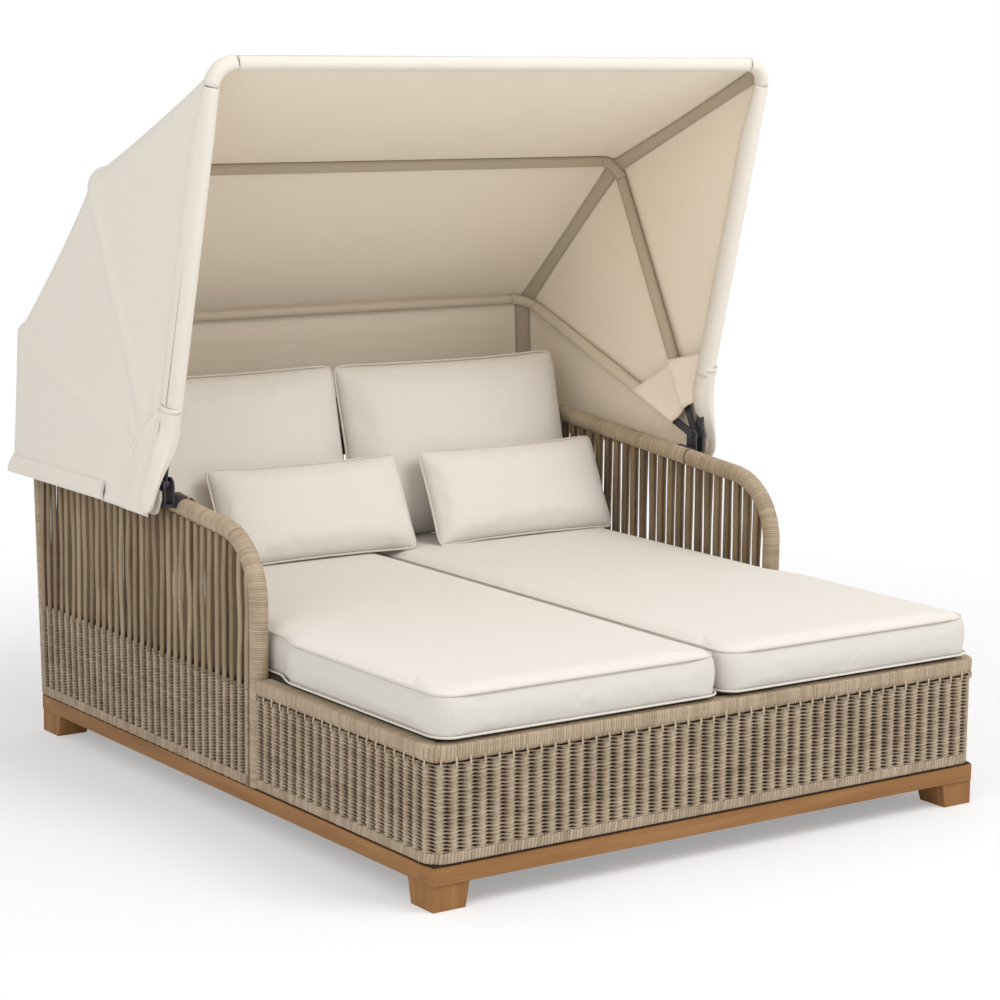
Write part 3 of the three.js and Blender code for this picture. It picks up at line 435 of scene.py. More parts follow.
def outward_of(outline):
    """Unit normals of a closed counter-clockwise outline."""
    step = np.roll(outline, -1, 0) - np.roll(outline, 1, 0)
    return unit(np.stack([step[:, 1], -step[:, 0]], -1))


def refined(outline, longest):
    """An outline with points added so that no side is longer than that."""
    points = []
    for a, b in zip(outline, np.roll(outline, -1, 0)):
        parts = max(1, int(math.ceil(np.linalg.norm(b - a) / longest)))
        points += [a + (b - a) * k / parts for k in range(parts)]
    return np.array(points)


def wrapped(shape, path, across, outline, pitch, groove, seed, per_turn=7):
    """A bar wound with strand: a groove between the turns, which climb once round for each pitch."""
    rng = np.random.default_rng(seed)
    path = resampled(path, pitch / per_turn)
    length = np.arange(len(path)) * np.linalg.norm(path[1] - path[0])
    round_share = np.arange(len(outline)) / len(outline)
    wobble = np.cumsum(rng.normal(0, WRAP_WOBBLE, len(path)))
    phase = length[:, None] / pitch + round_share[None] + wobble[:, None]
    part = phase % 1
    bump = np.sqrt(np.clip(1 - (2 * part - 1) ** 2, 0, 1))
    turn = np.floor(phase).astype(int)
    depth = rng.uniform(0, WRAP_SINK, turn.max() + 2)
    tone = rng.uniform(*WRAP_TONES, turn.max() + 2)
    sink = groove * (1 - bump) + groove * depth[turn]
    wound = outline[None] - outward_of(outline)[None] * sink[..., None]
    rings = rings_on(path, across, wound)
    # The tint falls towards each groove between the turns: painted shade in the grooves.
    tint = tone[turn] * (0.15 + 0.85 * bump)
    count, sides = rings.shape[:2]
    faces = [grid_faces(count, sides, False, True), np.arange(sides)[::-1][None],
             (count - 1) * sides + np.arange(sides)[None]]
    shape.add(rings, faces, tint.ravel())


# Materials
WAVES_PER_METRE = 3.1831  # of a wave texture with a scale of 1


class Look:
    """A node material: each call adds one node, with its inputs given as numbers, colours or sockets."""

    def __init__(self, name):
        self.material = bpy.data.materials.new(name)
        self.material.use_nodes = True
        self.tree = self.material.node_tree
        self.shader = self.tree.nodes["Principled BSDF"]
        self.place = self.node("ShaderNodeTexCoord").outputs["Object"]

    def node(self, kind, inputs=None, **settings):
        made = self.tree.nodes.new(kind)
        for key, value in settings.items():
            setattr(made, key, value)
        self.feed(made, inputs or {})
        return made

    def feed(self, made, inputs):
        for key, value in inputs.items():
            if isinstance(value, bpy.types.NodeSocket):
                self.tree.links.new(value, made.inputs[key])
            else:
                made.inputs[key].default_value = value

    def math(self, kind, a, b):
        return self.node("ShaderNodeMath", {0: a, 1: b}, operation=kind).outputs[0]

    def sum_of(self, a, a_share, b, b_share):
        """Two values, each times its share, added up."""
        return self.math("ADD", self.math("MULTIPLY", a, a_share), self.math("MULTIPLY", b, b_share))

    def noise(self, scale, detail, roughness, stretch=None):
        vector = self.place
        if stretch:
            vector = self.node("ShaderNodeMapping", {"Vector": vector, "Scale": stretch}).outputs[0]
        inputs = {"Vector": vector, "Scale": scale, "Detail": detail, "Roughness": roughness}
        return self.node("ShaderNodeTexNoise", inputs).outputs["Fac"]

    def wave(self, direction, period, distortion):
        inputs = {"Vector": self.place, "Scale": 1 / (period * WAVES_PER_METRE), "Distortion": distortion,
                  "Detail": 1.0, "Detail Scale": 1.5}
        return self.node("ShaderNodeTexWave", inputs, bands_direction=direction).outputs["Fac"]

    def ramp(self, value, stops):
        made = self.node("ShaderNodeValToRGB", {"Fac": value})
        elements = made.color_ramp.elements
        while len(elements) < len(stops):
            elements.new(0.5)
        for element, (position, colour) in zip(elements, stops):
            element.position = position
            element.color = rgb(colour)
        return made.outputs["Color"]

    def mixed(self, share, a, b):
        made = self.node("ShaderNodeMix", data_type="RGBA")
        a, b = (rgb(colour) if isinstance(colour, str) else colour for colour in (a, b))
        self.feed(made, {0: share, 6: a, 7: b})
        return made.outputs[2]

    def between(self, value, low, high):
        return self.node("ShaderNodeMapRange", {"Value": value, "To Min": low, "To Max": high}).outputs[0]

    def tint(self):
        return self.node("ShaderNodeAttribute", attribute_name="tint").outputs["Fac"]

    def bump(self, height, distance, strength):
        inputs = {"Height": height, "Distance": distance, "Strength": strength}
        return self.node("ShaderNodeBump", inputs).outputs[0]

    def done(self, colour, roughness, normal=None, **shader):
        inputs = {"Base Color": colour, "Roughness": roughness}
        if normal is not None:
            inputs["Normal"] = normal
        inputs.update({key.replace("_", " "): value for key, value in shader.items()})
        self.feed(self.shader, inputs)
        return self.material


def rgb(code):
    """Linear colour from a web code."""
    values = [int(code[i:i + 2], 16) / 255 for i in (1, 3, 5)]
    return (*[v / 12.92 if v <= 0.04045 else ((v + 0.055) / 1.055) ** 2.4 for v in values], 1.0)


def timber_look(name, along):
    """Oiled hardwood whose grain runs along one axis."""
    look = Look(name)
    stretch = [1.0, 1.0, 1.0]
    stretch["XYZ".index(along)] = 0.06
    grain = look.noise(34.0, 6.0, 0.62, tuple(stretch))
    pores = look.noise(420.0, 2.0, 0.6, tuple(stretch))
    broad = look.noise(5.0, 2.0, 0.5, tuple(stretch))
    base = look.ramp(grain, [(0.3, "#7f562e"), (0.5, "#92673a"), (0.68, "#a07648")])
    base = look.mixed(look.between(broad, 0.0, 0.5), base, "#885e31")
    base = look.mixed(look.between(look.math("GREATER_THAN", pores, 0.66), 0.0, 0.25), base, "#6e4826")
    rough = look.between(grain, 0.62, 0.48)
    normal = look.bump(look.math("ADD", grain, look.math("MULTIPLY", pores, 0.5)), 0.0004, 0.5)
    return look.done(base, rough, normal, Specular_IOR_Level=0.35)


def metal_look(name, colour, worn, roughness, metallic):
    """Powder-coated metal: a fine orange-peel texture and paler, rubbed patches."""
    look = Look(name)
    patches = look.noise(9.0, 4.0, 0.6)
    grain = look.noise(900.0, 2.0, 0.5)
    base = look.mixed(look.between(patches, 0.0, 0.5), colour, worn)
    normal = look.bump(grain, 0.0001, 0.5)
    rough = look.between(patches, roughness - 0.08, roughness + 0.1)
    return look.done(base, rough, normal, Metallic=metallic)


def strand_look(name, dark, mid, pale):
    """Weathered strand: a tone of its own for each turn or row, fine fibres and greyer patches. The tone also
    carries the painted light and shade that the shapes put into their tint.
    """
    look = Look(name)
    tone = look.tint()
    patches = look.noise(11.0, 3.0, 0.6)
    fibres = look.noise(650.0, 3.0, 0.6)
    value = look.sum_of(tone, 0.75, patches, 0.35)
    value = look.math("ADD", value, look.math("MULTIPLY", look.math("SUBTRACT", fibres, 0.5), 0.35))
    base = look.ramp(value, [(0.12, dark), (0.48, mid), (0.85, pale)])
    normal = look.bump(fibres, 0.0004, 0.6)
    return look.done(base, look.between(fibres, 0.72, 0.9), normal, Specular_IOR_Level=0.3)


def cloth_look(name, colour, shade, thread, sheen=0.15, strip=None):
    """Woven cloth: crossing threads in all three directions, slubs, and soft tonal patches.

    Where a strip's two heights are given, the cloth between them is painted darker, as painted shade on a
    cushion's sides.
    """
    look = Look(name)
    waves = [look.wave(axis, thread, 0.6) for axis in "XYZ"]
    weave = look.math("MULTIPLY", look.math("ADD", waves[0], waves[2]), look.math("ADD", waves[1], 0.5))
    slubs = look.noise(240.0, 3.0, 0.65)
    specks = look.noise(1100.0, 1.0, 0.5)
    patches = look.noise(3.0, 2.0, 0.5)
    value = look.sum_of(slubs, 0.55, patches, 0.45)
    base = look.mixed(look.between(value, 0.0, 0.5), colour, shade)
    base = look.mixed(look.between(specks, 0.0, 0.16), base, shade)
    if strip:
        level = look.node("ShaderNodeSeparateXYZ", {"Vector": look.place}).outputs["Z"]
        inside = look.math("MULTIPLY", look.math("GREATER_THAN", level, strip[0]),
                           look.math("LESS_THAN", level, strip[1]))
        base = look.mixed(look.math("MULTIPLY", inside, 0.14), base, "#000000")
    height = look.math("ADD", weave, look.math("MULTIPLY", slubs, 0.8))
    normal = look.bump(height, 0.00025, 0.35)
    return look.done(base, 0.92, normal, Specular_IOR_Level=0.2, Sheen_Weight=sheen, Sheen_Roughness=0.6)


timber = {axis: timber_look("timber_" + axis.lower(), axis) for axis in "XYZ"}
dark_metal = metal_look("black_metal", "#1d1b1a", "#2b2927", 0.45, 0.2)
bracket_metal = metal_look("bracket_metal", "#35353a", "#4a4a4f", 0.42, 0.35)
grey_metal = metal_look("frame_metal", "#6f685e", "#857d70", 0.5, 0.3)
# The deck slats and backrest panel: a dark powder coat, made darker still as painted shade in the gaps
# between the cushions.
slat_painted_shade_look = metal_look("deck_metal_painted_shade", "#3d362d", "#463f35", 0.6, 0.1)
# The woven strand's near-black dark stop is reached in the valleys between the stakes, where it is painted
# shade.
weave_look = strand_look("woven_strand", "#281c11", "#988670", "#bfb09b")
wrap_look = strand_look("wrapping_strand", "#4a3c2c", "#a28f78", "#bfb098")
rope_look = strand_look("hanging_strand", "#45382a", "#87735b", "#aa977e")
shadow_look = strand_look("strand_in_shade", "#1d150d", "#2e2317", "#3d3021")
cushion_look = cloth_look("cushion_cloth", "#e3ded6", "#d9d3ca", 0.0011)
# The seat cloth is painted darker on the boxing between its two seams: painted shade on the cushion's sides.
seat_look = cloth_look("seat_cloth", "#e3ded6", "#d9d3ca", 0.0011,
                       strip=[SEAT_LOW + height for _, height in SEAT_SEAMS[::-1]])
piping_look = cloth_look("piping_cloth", "#dad4cb", "#cbc3b8", 0.0009)
canopy_look = cloth_look("canopy_cloth", "#e6dfd4", "#ddd5c9", 0.0008, 0.1)
# The canopy's inner face is the same cloth, painted lighter and warmer than the outside: painted light in the
# shaded inside of the canopy.
inside_painted_light_look = cloth_look("canopy_inside_painted_light", "#f8ecdb", "#f0e3ce", 0.0008, 0.1)
tape_look = cloth_look("canopy_tape", "#bfb19c", "#ae9f89", 0.0012, 0.1)
bow_look = cloth_look("rear_bow_cloth", "#ddd0bc", "#cfc1ab", 0.0008, 0.1)
canopy_sides = [canopy_look, inside_painted_light_look]


def dress_node(names, look, bevel=0.0):
    """Gives a carried-over solid its material and, where asked, softened edges."""
    for name in names:
        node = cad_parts[name]
        node = bpy.data.objects[node] if isinstance(node, str) else node
        node.data.materials.clear()
        node.data.materials.append(look)
        if bevel:
            made = node.modifiers.new("edges", "BEVEL")
            made.width, made.segments, made.limit_method = bevel, 3, "ANGLE"
            made.angle_limit = math.radians(35)
            made.harden_normals = False


# Timber, bars and hidden frame
def add_frame_looks():
    dress_node(["plinth_front_rail", "plinth_rear_rail"], timber["X"], RAIL_EDGE)
    dress_node(["plinth_left_rail", "plinth_right_rail"], timber["Y"], RAIL_EDGE)
    for end in ("front", "rear"):
        dress_node([f"{end}_{side}_foot" for side, _ in SIDES], timber["Z"], FOOT_EDGE)
    dress_node([f"{each}_base_bar" for each in ("front", "rear", "left", "right")], dark_metal, BAR_EDGE)
    dress_node(["front_cross_rail", "rear_cross_rail", "centre_beam"], grey_metal, TUBE_EDGE)
    for side, _ in SIDES:
        dress_node([f"{side}_{what}" for what in ("side_bearer", "front_post", "backrest_strut")], grey_metal,
                   TUBE_EDGE)
        dress_node([f"{side}_pivot_bracket", f"{side}_pivot_bolt"], bracket_metal, BRACKET_EDGE)
    dress_node([*(f"deck_slat_{k}" for k in range(1, 7)), "backrest_panel"], slat_painted_shade_look, RAIL_EDGE)
    dress_node(BOWS, bracket_metal)


# Woven work
def weave(shape, place, length, height, pitch, row, seed, swell=0.0042, drop=0.005, slant=0.0011, phase=0.0,
          sharp=1.3):
    """Rows of strand that swell over the stakes; every second row dips behind in the valleys between them."""
    rng = np.random.default_rng(seed)
    count = int(round(height / row))
    row = height / count
    u = np.linspace(0, length, int(length / pitch * 10) + 1)
    turn = TAU * (u - phase) / pitch
    over = np.cos(turn)
    valley = (0.5 - 0.5 * over) ** sharp
    section = circle(1.0, 6)
    knots = np.linspace(0, length, int(length / pitch) + 2)
    for k in range(count):
        drift = np.interp(u, knots, rng.normal(0, ROW_DRIFT, len(knots)))
        v = (k + 0.5) * row + slant * np.sin(turn) + drift
        w = -swell * (1 - over) / 2 - (drop * valley if k % 2 else 0.0) + drift
        tall = row * (0.57 + 0.05 * over)
        # The tint paints light and shade: lighter over the stakes, darker in the valleys, and darkest on the
        # rows that dip behind.
        tone = 0.36 + 0.3 * (over + 1) / 2 + rng.uniform(-0.1, 0.1)
        tone = np.clip(tone + rng.normal(0, 0.05, len(u)), 0, 1)
        tone = tone * (1 - (1.0 if k % 2 else 0.3) * valley)
        rings = place(u[:, None], v[:, None] + section[None, :, 0] * tall[:, None],
                      w[:, None] - ROW_HALF_THICKNESS + section[None, :, 1] * ROW_HALF_THICKNESS)
        shape.tube(rings, tone)


def band_behind(shape, place, length, height, depth, slot, pieces=60):
    """A sheet close behind woven rows, so that no light comes through them, coloured near black as painted
    shade.
    """
    u = np.linspace(0, length, pieces)
    rear = -depth - 0.002
    rows = [place(u, np.full_like(u, v), np.full_like(u, w))
            for v, w in ((0, -depth), (height, -depth), (height, rear), (0, rear))]
    shape.tube(np.stack(rows, 1), 0.5, slot)


def plan_place(path, floor):
    """A place function for work that stands on a line in plan: u along it, v up, w outwards."""
    along = lengths(path)
    normal = np.cross(unit(np.gradient(path, axis=0)), Z_AXIS)

    def place(u, v, w):
        u, v, w = np.broadcast_arrays(u, v, w)
        out = unit(points_at(u, along, normal))
        return points_at(u, along, path) + out * w[..., None] + Z_AXIS * (floor + v)[..., None]

    return place, along[-1]


def box_line(inset, rear_y, spacing=0.01):
    """The woven box's line in plan, from the left arm round the front to the right arm."""
    x, y = BOX_HALF_WIDTH - inset, BOX_FRONT_Y + inset
    corners = [(-x, rear_y, 0), (-x, y, 0), (x, y, 0), (x, rear_y, 0)]
    return bent(corners, BOX_CORNER - inset, spacing)


def wound_border(shape, path, depth, groove, seed):
    """The wound strip along the foot of woven work."""
    outline = refined(rounded_outline(depth, BORDER_HEIGHT, 0.0025, 0.0035, 3), 0.006)
    wrapped(shape, path, None, outline, BORDER_TURN, groove, seed)


def add_woven_box():
    shape = Shape()
    rear_y = ARM_POST_Y - ARM_RADIUS + BOX_TUCK
    place, length = plan_place(box_line(BOX_INSET, rear_y), BODY_BOTTOM + BORDER_HEIGHT)
    pitch = length / round(length / STAKE_PITCH)
    height = RIM_BOTTOM - BODY_BOTTOM - BORDER_HEIGHT
    weave(shape, place, length, height, pitch, BOX_ROW, 11)
    band_behind(shape, place, length, height + 0.007, BACKING_DEPTH, 1, 300)
    path = box_line(BACKING_DEPTH, rear_y)
    path[:, 2] = BODY_BOTTOM + BORDER_HEIGHT / 2
    wound_border(shape, path, 0.008, 0.0013, 12)
    piece = shape.make("woven_box", [weave_look, shadow_look], "frame")
    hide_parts("front_woven_panel", "left_woven_panel", "right_woven_panel")


def add_rim():
    shape = Shape()
    rear_y = ARM_POST_Y - ARM_RADIUS - 0.001
    path = box_line(RIM_WIDTH / 2, rear_y, 0.004)
    path[:, 2] = (RIM_BOTTOM + RIM_TOP) / 2
    outline = refined(rounded_outline(RIM_WIDTH, RIM_TOP - RIM_BOTTOM, 0.006, 0.019, 5), 0.008)
    wrapped(shape, path, None, outline, RIM_TURN, 0.0018, 21, per_turn=8)
    rng = np.random.default_rng(22)
    place, length = plan_place(box_line(0.0, rear_y), RIM_BOTTOM)
    pitch = length / round(length / STAKE_PITCH)
    for k in range(int(round(length / pitch))):
        u = k * pitch
        v = np.linspace(STAKE_END_START, rng.uniform(*STAKE_END_REACH), 6)
        w = 0.0012 - 0.004 * smooth(np.abs(v - 0.002) / 0.016)
        path = place(np.full_like(v, u), v, w)
        along = place(u + 0.001, 0.0, 0.0) - place(u, 0.0, 0.0)
        shape.tube(rings_on(path, along, circle(STAKE_END_RADIUS, 6)), rng.uniform(0.6, 0.95))
    piece = shape.make("wrapped_rim", [wrap_look], "frame")
    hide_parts("front_rim", "left_rim", "right_rim")


def arm_line(side, spacing=0.01):
    """Centre line of an arm rail: up the front post, round the bend and back to the back frame."""
    x = side * ARM_X
    rear_y = back_y(arm_height(ORIGIN_Y + 0.945) - ARM_RADIUS) - 0.0085
    corners = [(x, ARM_POST_Y, FOOT_LEVEL), (x, ARM_POST_Y, arm_height(ARM_POST_Y)),
               (x, rear_y, arm_height(rear_y))]
    return bent(corners, ARM_BEND, spacing)


def add_arm_rails():
    for k, (name, side) in enumerate(SIDES):
        shape = Shape()
        wrapped(shape, arm_line(side), X_AXIS, circle(ARM_RADIUS, 24), ARM_TURN, 0.0014, 31 + k)
        piece = shape.make(f"{name}_wrapped_arm", [wrap_look], "frame")
        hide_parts(f"{name}_arm_rail")


def add_saddle_wraps():
    """Strand wound over the inner half of the brackets' saddles, which then show only outside the arms."""
    pitch = 2 * SADDLE_HALF_LENGTH / SADDLE_TURNS
    angle = np.radians(np.linspace(-40, 80, SADDLE_POINTS))
    number = np.arange(SADDLE_POINTS)
    radius = SADDLE_RADIUS + SADDLE_RISE * smooth(np.minimum(1, np.minimum(number, number[::-1]) / 4))
    for k, (name, side) in enumerate(SIDES):
        rng = np.random.default_rng(35 + k)
        shape = Shape()
        for j in range(SADDLE_TURNS):
            y = PIVOT[1] - SADDLE_HALF_LENGTH + pitch * (j + 0.5)
            line = np.stack([side * (ARM_X - radius * np.cos(angle)),
                             np.full(SADDLE_POINTS, y) + rng.normal(0, 0.0002),
                             arm_height(y) + radius * np.sin(angle)], -1)
            shape.tube(rings_on(line, Y_AXIS, ellipse(pitch * 0.54, SADDLE_STRAND_HALF)),
                       rng.uniform(0.44, 0.8))
        shape.make(f"{name}_saddle_wrap", [wrap_look], "frame")


def add_back_frame():
    shape = Shape()
    top = arm_height(back_y(0.742))
    ends = ((-1, FOOT_LEVEL), (-1, top), (1, top), (1, FOOT_LEVEL))
    corners = [(s * ARM_X, back_y(z), z) for s, z in ends]
    path = bent(corners, 0.045, 0.01)
    wrapped(shape, path, (0, 1, -BACK_RAKE), circle(BACK_RADIUS, 18), BACK_TURN, 0.001, 41)
    piece = shape.make("wrapped_back_frame", [wrap_look], "frame")
    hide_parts("back_frame")


def under_arm(side):
    """A function that gives the height of an arm rail's underside over y, also inside its bend."""
    path = arm_line(side, 0.004)
    front = path[:, 2] > 0.3
    order = np.argsort(path[front, 1], kind="stable")
    ys, zs = path[front, 1][order], path[front, 2][order]

    def height(y):
        near = np.abs(ys - y) < 0.006
        return (zs[near].max() if near.any() else np.interp(y, ys, zs)) - ARM_RADIUS * 0.7

    return height


def strand_path(foot, head, rng, sway, count=16):
    """A hanging strand between two points, with a slow sway along the arm and a little across it."""
    t = np.linspace(0, 1, count)[:, None]
    line = np.asarray(foot) * (1 - t) + np.asarray(head) * t
    envelope = np.sin(math.pi * t[:, 0]) ** 0.7
    waves = np.zeros(count)
    for order in (1, 2, 3):
        waves += rng.normal(0, 1 / order) * np.sin(order * math.pi * t[:, 0] + rng.uniform(0, 0.7))
    return line, waves * envelope * sway


def add_arm_infill():
    for k, (name, side) in enumerate(SIDES):
        rng = np.random.default_rng(51 + k)
        height = under_arm(side)
        shape = Shape()
        front_y = ARM_POST_Y + STRAND_START
        count, behind = STRANDS[name]
        pitch = (back_y(0.6) - STRAND_STOP - front_y) / count
        for layer, (head_x, foot_x, across, along) in enumerate(STRAND_LAYERS):
            for j in range(count - layer):
                y = front_y + pitch * (j + (behind if layer else 0.5))
                lean = rng.normal(0, STRAND_LEAN)
                head = (side * head_x, y + lean, height(y + lean))
                foot = (side * foot_x, y, BAND_TOP - STRAND_TUCK)
                line, sway = strand_path(foot, head, rng, STRAND_SWAY)
                line[:, 1] += sway
                line[:, 0] += side * 0.35 * sway
                rings = rings_on(line, X_AXIS, ellipse(across, along))
                # The inner layer's tint is 0.25 lower: painted shade on the strands that hang inside the arm.
                shape.tube(rings, rng.uniform(0.4, 0.8) - 0.25 * layer)
        # A near-black strip inside the arm, just above the woven band: painted shade for the gaps between the
        # strands there.
        y = np.linspace(front_y, back_y(BAND_TOP) - 0.03, 40)
        levels = (BAND_TOP + SHADE_HEIGHT, BAND_TOP)[::side]
        rows = np.array([[(side * SHADE_X, each, z) for each in y] for z in levels])
        shell(shape, rows, TRIM_THICKNESS, (1, 1))
        piece = shape.make(f"{name}_hanging_strands", [rope_look, shadow_look], "frame")
        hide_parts(f"{name}_arm_strands")
        add_arm_band(name, side, front_y, pitch, 61 + k)


def add_arm_band(name, side, front_y, pitch, seed):
    """The woven band under an arm's strands, whose ribs stand where the strands come down."""
    shape = Shape()
    start, end = ARM_POST_Y + ARM_RADIUS - 0.004, back_y(BODY_BOTTOM) - 0.012
    length = end - start
    rib = front_y + pitch / 2 - start

    def place(u, v, w):
        u, v, w = np.broadcast_arrays(u, v, w)
        along = u if side > 0 else length - u
        y = start + along * (1 + (back_y(BODY_BOTTOM + v) - back_y(BODY_BOTTOM)) / length)
        return np.stack([side * (ARM_BAND_X + w), y, FOOT_LEVEL + v], -1)

    phase = rib if side > 0 else length - rib
    weave(shape, place, length, BAND_HEIGHT, pitch, ARM_BAND_ROW, seed, swell=0.0058, drop=0.0055,
          slant=side * 0.0028, phase=phase, sharp=0.85)
    band_behind(shape, place, length, BAND_HEIGHT - 0.004, BAND_BACKING_DEPTH, 1)
    foot = BODY_BOTTOM + BORDER_HEIGHT / 2
    path = np.array([(side * ARM_BORDER_X, y, foot) for y in np.linspace(start + 0.002, end, 60)])
    wound_border(shape, path, 0.009, 0.0015, seed + 1)
    piece = shape.make(f"{name}_woven_arm_band", [weave_look, shadow_look], "frame")
    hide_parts(f"{name}_arm_woven_band")


def add_back_infill():
    rng = np.random.default_rng(71)
    shape = Shape()
    reach = ARM_X - BACK_RADIUS - 0.004
    pitch = 2 * reach / BACK_STRANDS
    low, top = BAND_TOP - 0.01, BACK_STRAND_TOP
    for k in range(BACK_STRANDS):
        x = -reach + pitch * (k + 0.5)
        foot = (x, back_y(low) + BACK_STRAND_OFFSET, low)
        head = (x + rng.normal(0, 0.002), back_y(top) + BACK_STRAND_OFFSET, top)
        line, sway = strand_path(foot, head, rng, BACK_STRAND_SWAY, 12)
        line[:, 0] += sway
        shape.tube(rings_on(line, Y_AXIS, circle(BACK_STRAND_RADIUS, 8)), rng.uniform(0.35, 0.85))
    piece = shape.make("back_hanging_strands", [rope_look], "frame")
    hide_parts("back_strands")
    band = Shape()

    def place(u, v, w):
        u, v, w = np.broadcast_arrays(u, v, w)
        return np.stack([reach - u, back_y(BODY_BOTTOM + v) + BACK_BAND_OFFSET + w, FOOT_LEVEL + v], -1)

    weave(band, place, 2 * reach, BAND_HEIGHT, pitch, BACK_BAND_ROW, 72, swell=0.0055, drop=0.005,
          slant=0.0022, phase=pitch / 2)
    band_behind(band, place, 2 * reach, BAND_HEIGHT - 0.004, BAND_BACKING_DEPTH, 1)
    piece = band.make("back_woven_band_rows", [weave_look, shadow_look], "frame")
    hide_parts("back_woven_band")


# Cushions
def mesh_points(obj):
    flat = np.empty(len(obj.data.vertices) * 3, np.float32)
    obj.data.vertices.foreach_get("co", flat)
    return flat.reshape(-1, 3).astype(float)


def set_points(obj, points):
    obj.data.vertices.foreach_set("co", points.astype(np.float32).ravel())
    obj.data.update()


def capped(moved, most):
    """Movements of points, none of them longer than the most."""
    reach = np.linalg.norm(moved, axis=1, keepdims=True)
    return moved * np.minimum(1, most / np.maximum(reach, 1e-9))


def blown(obj, frames, pressure, bending=0.5, stiffness=12.0):
    """The points of a closed cloth shape after a cloth simulation that fills it with air."""
    cloth = obj.modifiers.new("cloth", "CLOTH")
    settings = cloth.settings
    settings.use_pressure = True
    settings.uniform_pressure_force = pressure
    settings.effector_weights.gravity = 0
    settings.tension_stiffness = settings.compression_stiffness = stiffness
    settings.shear_stiffness = stiffness / 2
    settings.bending_stiffness = bending
    settings.mass = 0.25
    settings.air_damping = 6.0
    settings.quality = 6
    cloth.collision_settings.use_collision = False
    cloth.point_cache.frame_start, cloth.point_cache.frame_end = 1, frames
    scene = bpy.context.scene
    for number in range(1, frames + 1):
        scene.frame_set(number)
    points = mesh_points(obj.evaluated_get(bpy.context.evaluated_depsgraph_get()))
    obj.modifiers.remove(cloth)
    scene.frame_set(1)
    return points


def fitted(points, low, high):
    """The points moved and scaled to fill a box."""
    a, b = points.min(0), points.max(0)
    return low + (points - a) / (b - a) * (high - low)


def subdivided(obj):
    made = obj.modifiers.new("smooth", "SUBSURF")
    made.levels = made.render_levels = 1


def cushion_in_place(piece, node):
    """Lets a cushion ride on the frame in place of its plain solid."""
    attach(piece, "frame")
    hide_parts(node)


def pillow_form(width, height, thick, cell):
    """Two full cloth panels sewn round the edge, with sides that pull in a little.

    Returns the points, the faces and the numbers of the points on the seam.
    """
    nx, ny = int(width / cell), int(height / cell)
    u, v = np.meshgrid(np.linspace(-1, 1, nx + 1), np.linspace(-1, 1, ny + 1), indexing="ij")
    blunt = np.abs(u * v) ** 9
    x = width / 2 * u * (1 - PILLOW_PULL / width * 2 * (1 - v ** 2) - 0.018 * blunt)
    y = height / 2 * v * (1 - PILLOW_PULL / height * 2 * (1 - u ** 2) - 0.026 * blunt)
    puff = ((1 - np.abs(u) ** 3.6) * (1 - np.abs(v) ** 3.6)) ** 0.52
    front = np.stack([x, y, thick / 2 * puff], -1)
    back = np.stack([x, y, -thick / 2 * puff], -1)
    number = np.arange((nx + 1) * (ny + 1)).reshape(nx + 1, ny + 1)
    inner = np.zeros_like(number, bool)
    inner[1:-1, 1:-1] = True
    second = number.copy()
    second[inner] = number.size + np.arange(inner.sum())
    points = np.concatenate([front.reshape(-1, 3), back[inner]])

    def quads(ids, flip):
        corners = [ids[:-1, :-1], ids[1:, :-1], ids[1:, 1:], ids[:-1, 1:]]
        return np.stack(corners[::-1] if flip else corners, -1).reshape(-1, 4)

    faces = np.concatenate([quads(number, False), quads(second, True)])
    seam = np.concatenate([number[:, 0], number[-1, 1:], number[-2::-1, -1], number[0, -2:0:-1]])
    return points, faces, seam


def piping(shape, path, radius):
    """A thin cord of cloth round a closed seam."""
    line = resampled(np.concatenate([path, path[:1]]), 0.004)[:-1]
    tangent = unit(np.roll(line, -1, 0) - np.roll(line, 1, 0))
    across = unit(line - line.mean(0))
    lift = unit(np.cross(tangent, across))
    across = np.cross(lift, tangent)
    outline = circle(radius, 8)
    rings = line[:, None] + outline[None, :, :1] * across[:, None] + outline[None, :, 1:] * lift[:, None]
    shape.tube(rings, closed=True)


def add_pillow(node, size, lean, cell, most, seed):
    """A sewn pillow: its form filled with air a little more, then stood where the plain solid stands."""
    low, high = (np.array(v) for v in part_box(node))
    points, faces, seam = pillow_form(*size, cell)
    rng = np.random.default_rng(seed)
    points = points + rng.normal(0, 0.0004, points.shape)
    shape = Shape()
    shape.add(points, [faces])
    piece = shape.make(node + "_cover", [cushion_look], None)
    points = points + capped(blown(piece, PILLOW_FRAMES, PILLOW_PRESSURE) - points, most)
    scale = np.array(size) / (points.max(0) - points.min(0))
    points = (points - (points.max(0) + points.min(0)) / 2) * scale
    points = points @ np.array(Matrix.Rotation(math.radians(90 - lean), 3, "X")).T
    if "back" in node:
        low[0], high[0] = (low[0], -MIDDLE_GAP) if high[0] < 0 else (MIDDLE_GAP, high[0])
    points = fitted(points, low, high)
    set_points(piece, points)
    subdivided(piece)
    cushion_in_place(piece, node)
    outline = points[seam]
    for _ in range(3):
        outline = (np.roll(outline, 1, 0) + 2 * outline + np.roll(outline, -1, 0)) / 4
    cord = Shape()
    piping(cord, outline, PILLOW_PIPING_RADIUS)
    cord.make(node + "_piping", [piping_look], "frame")


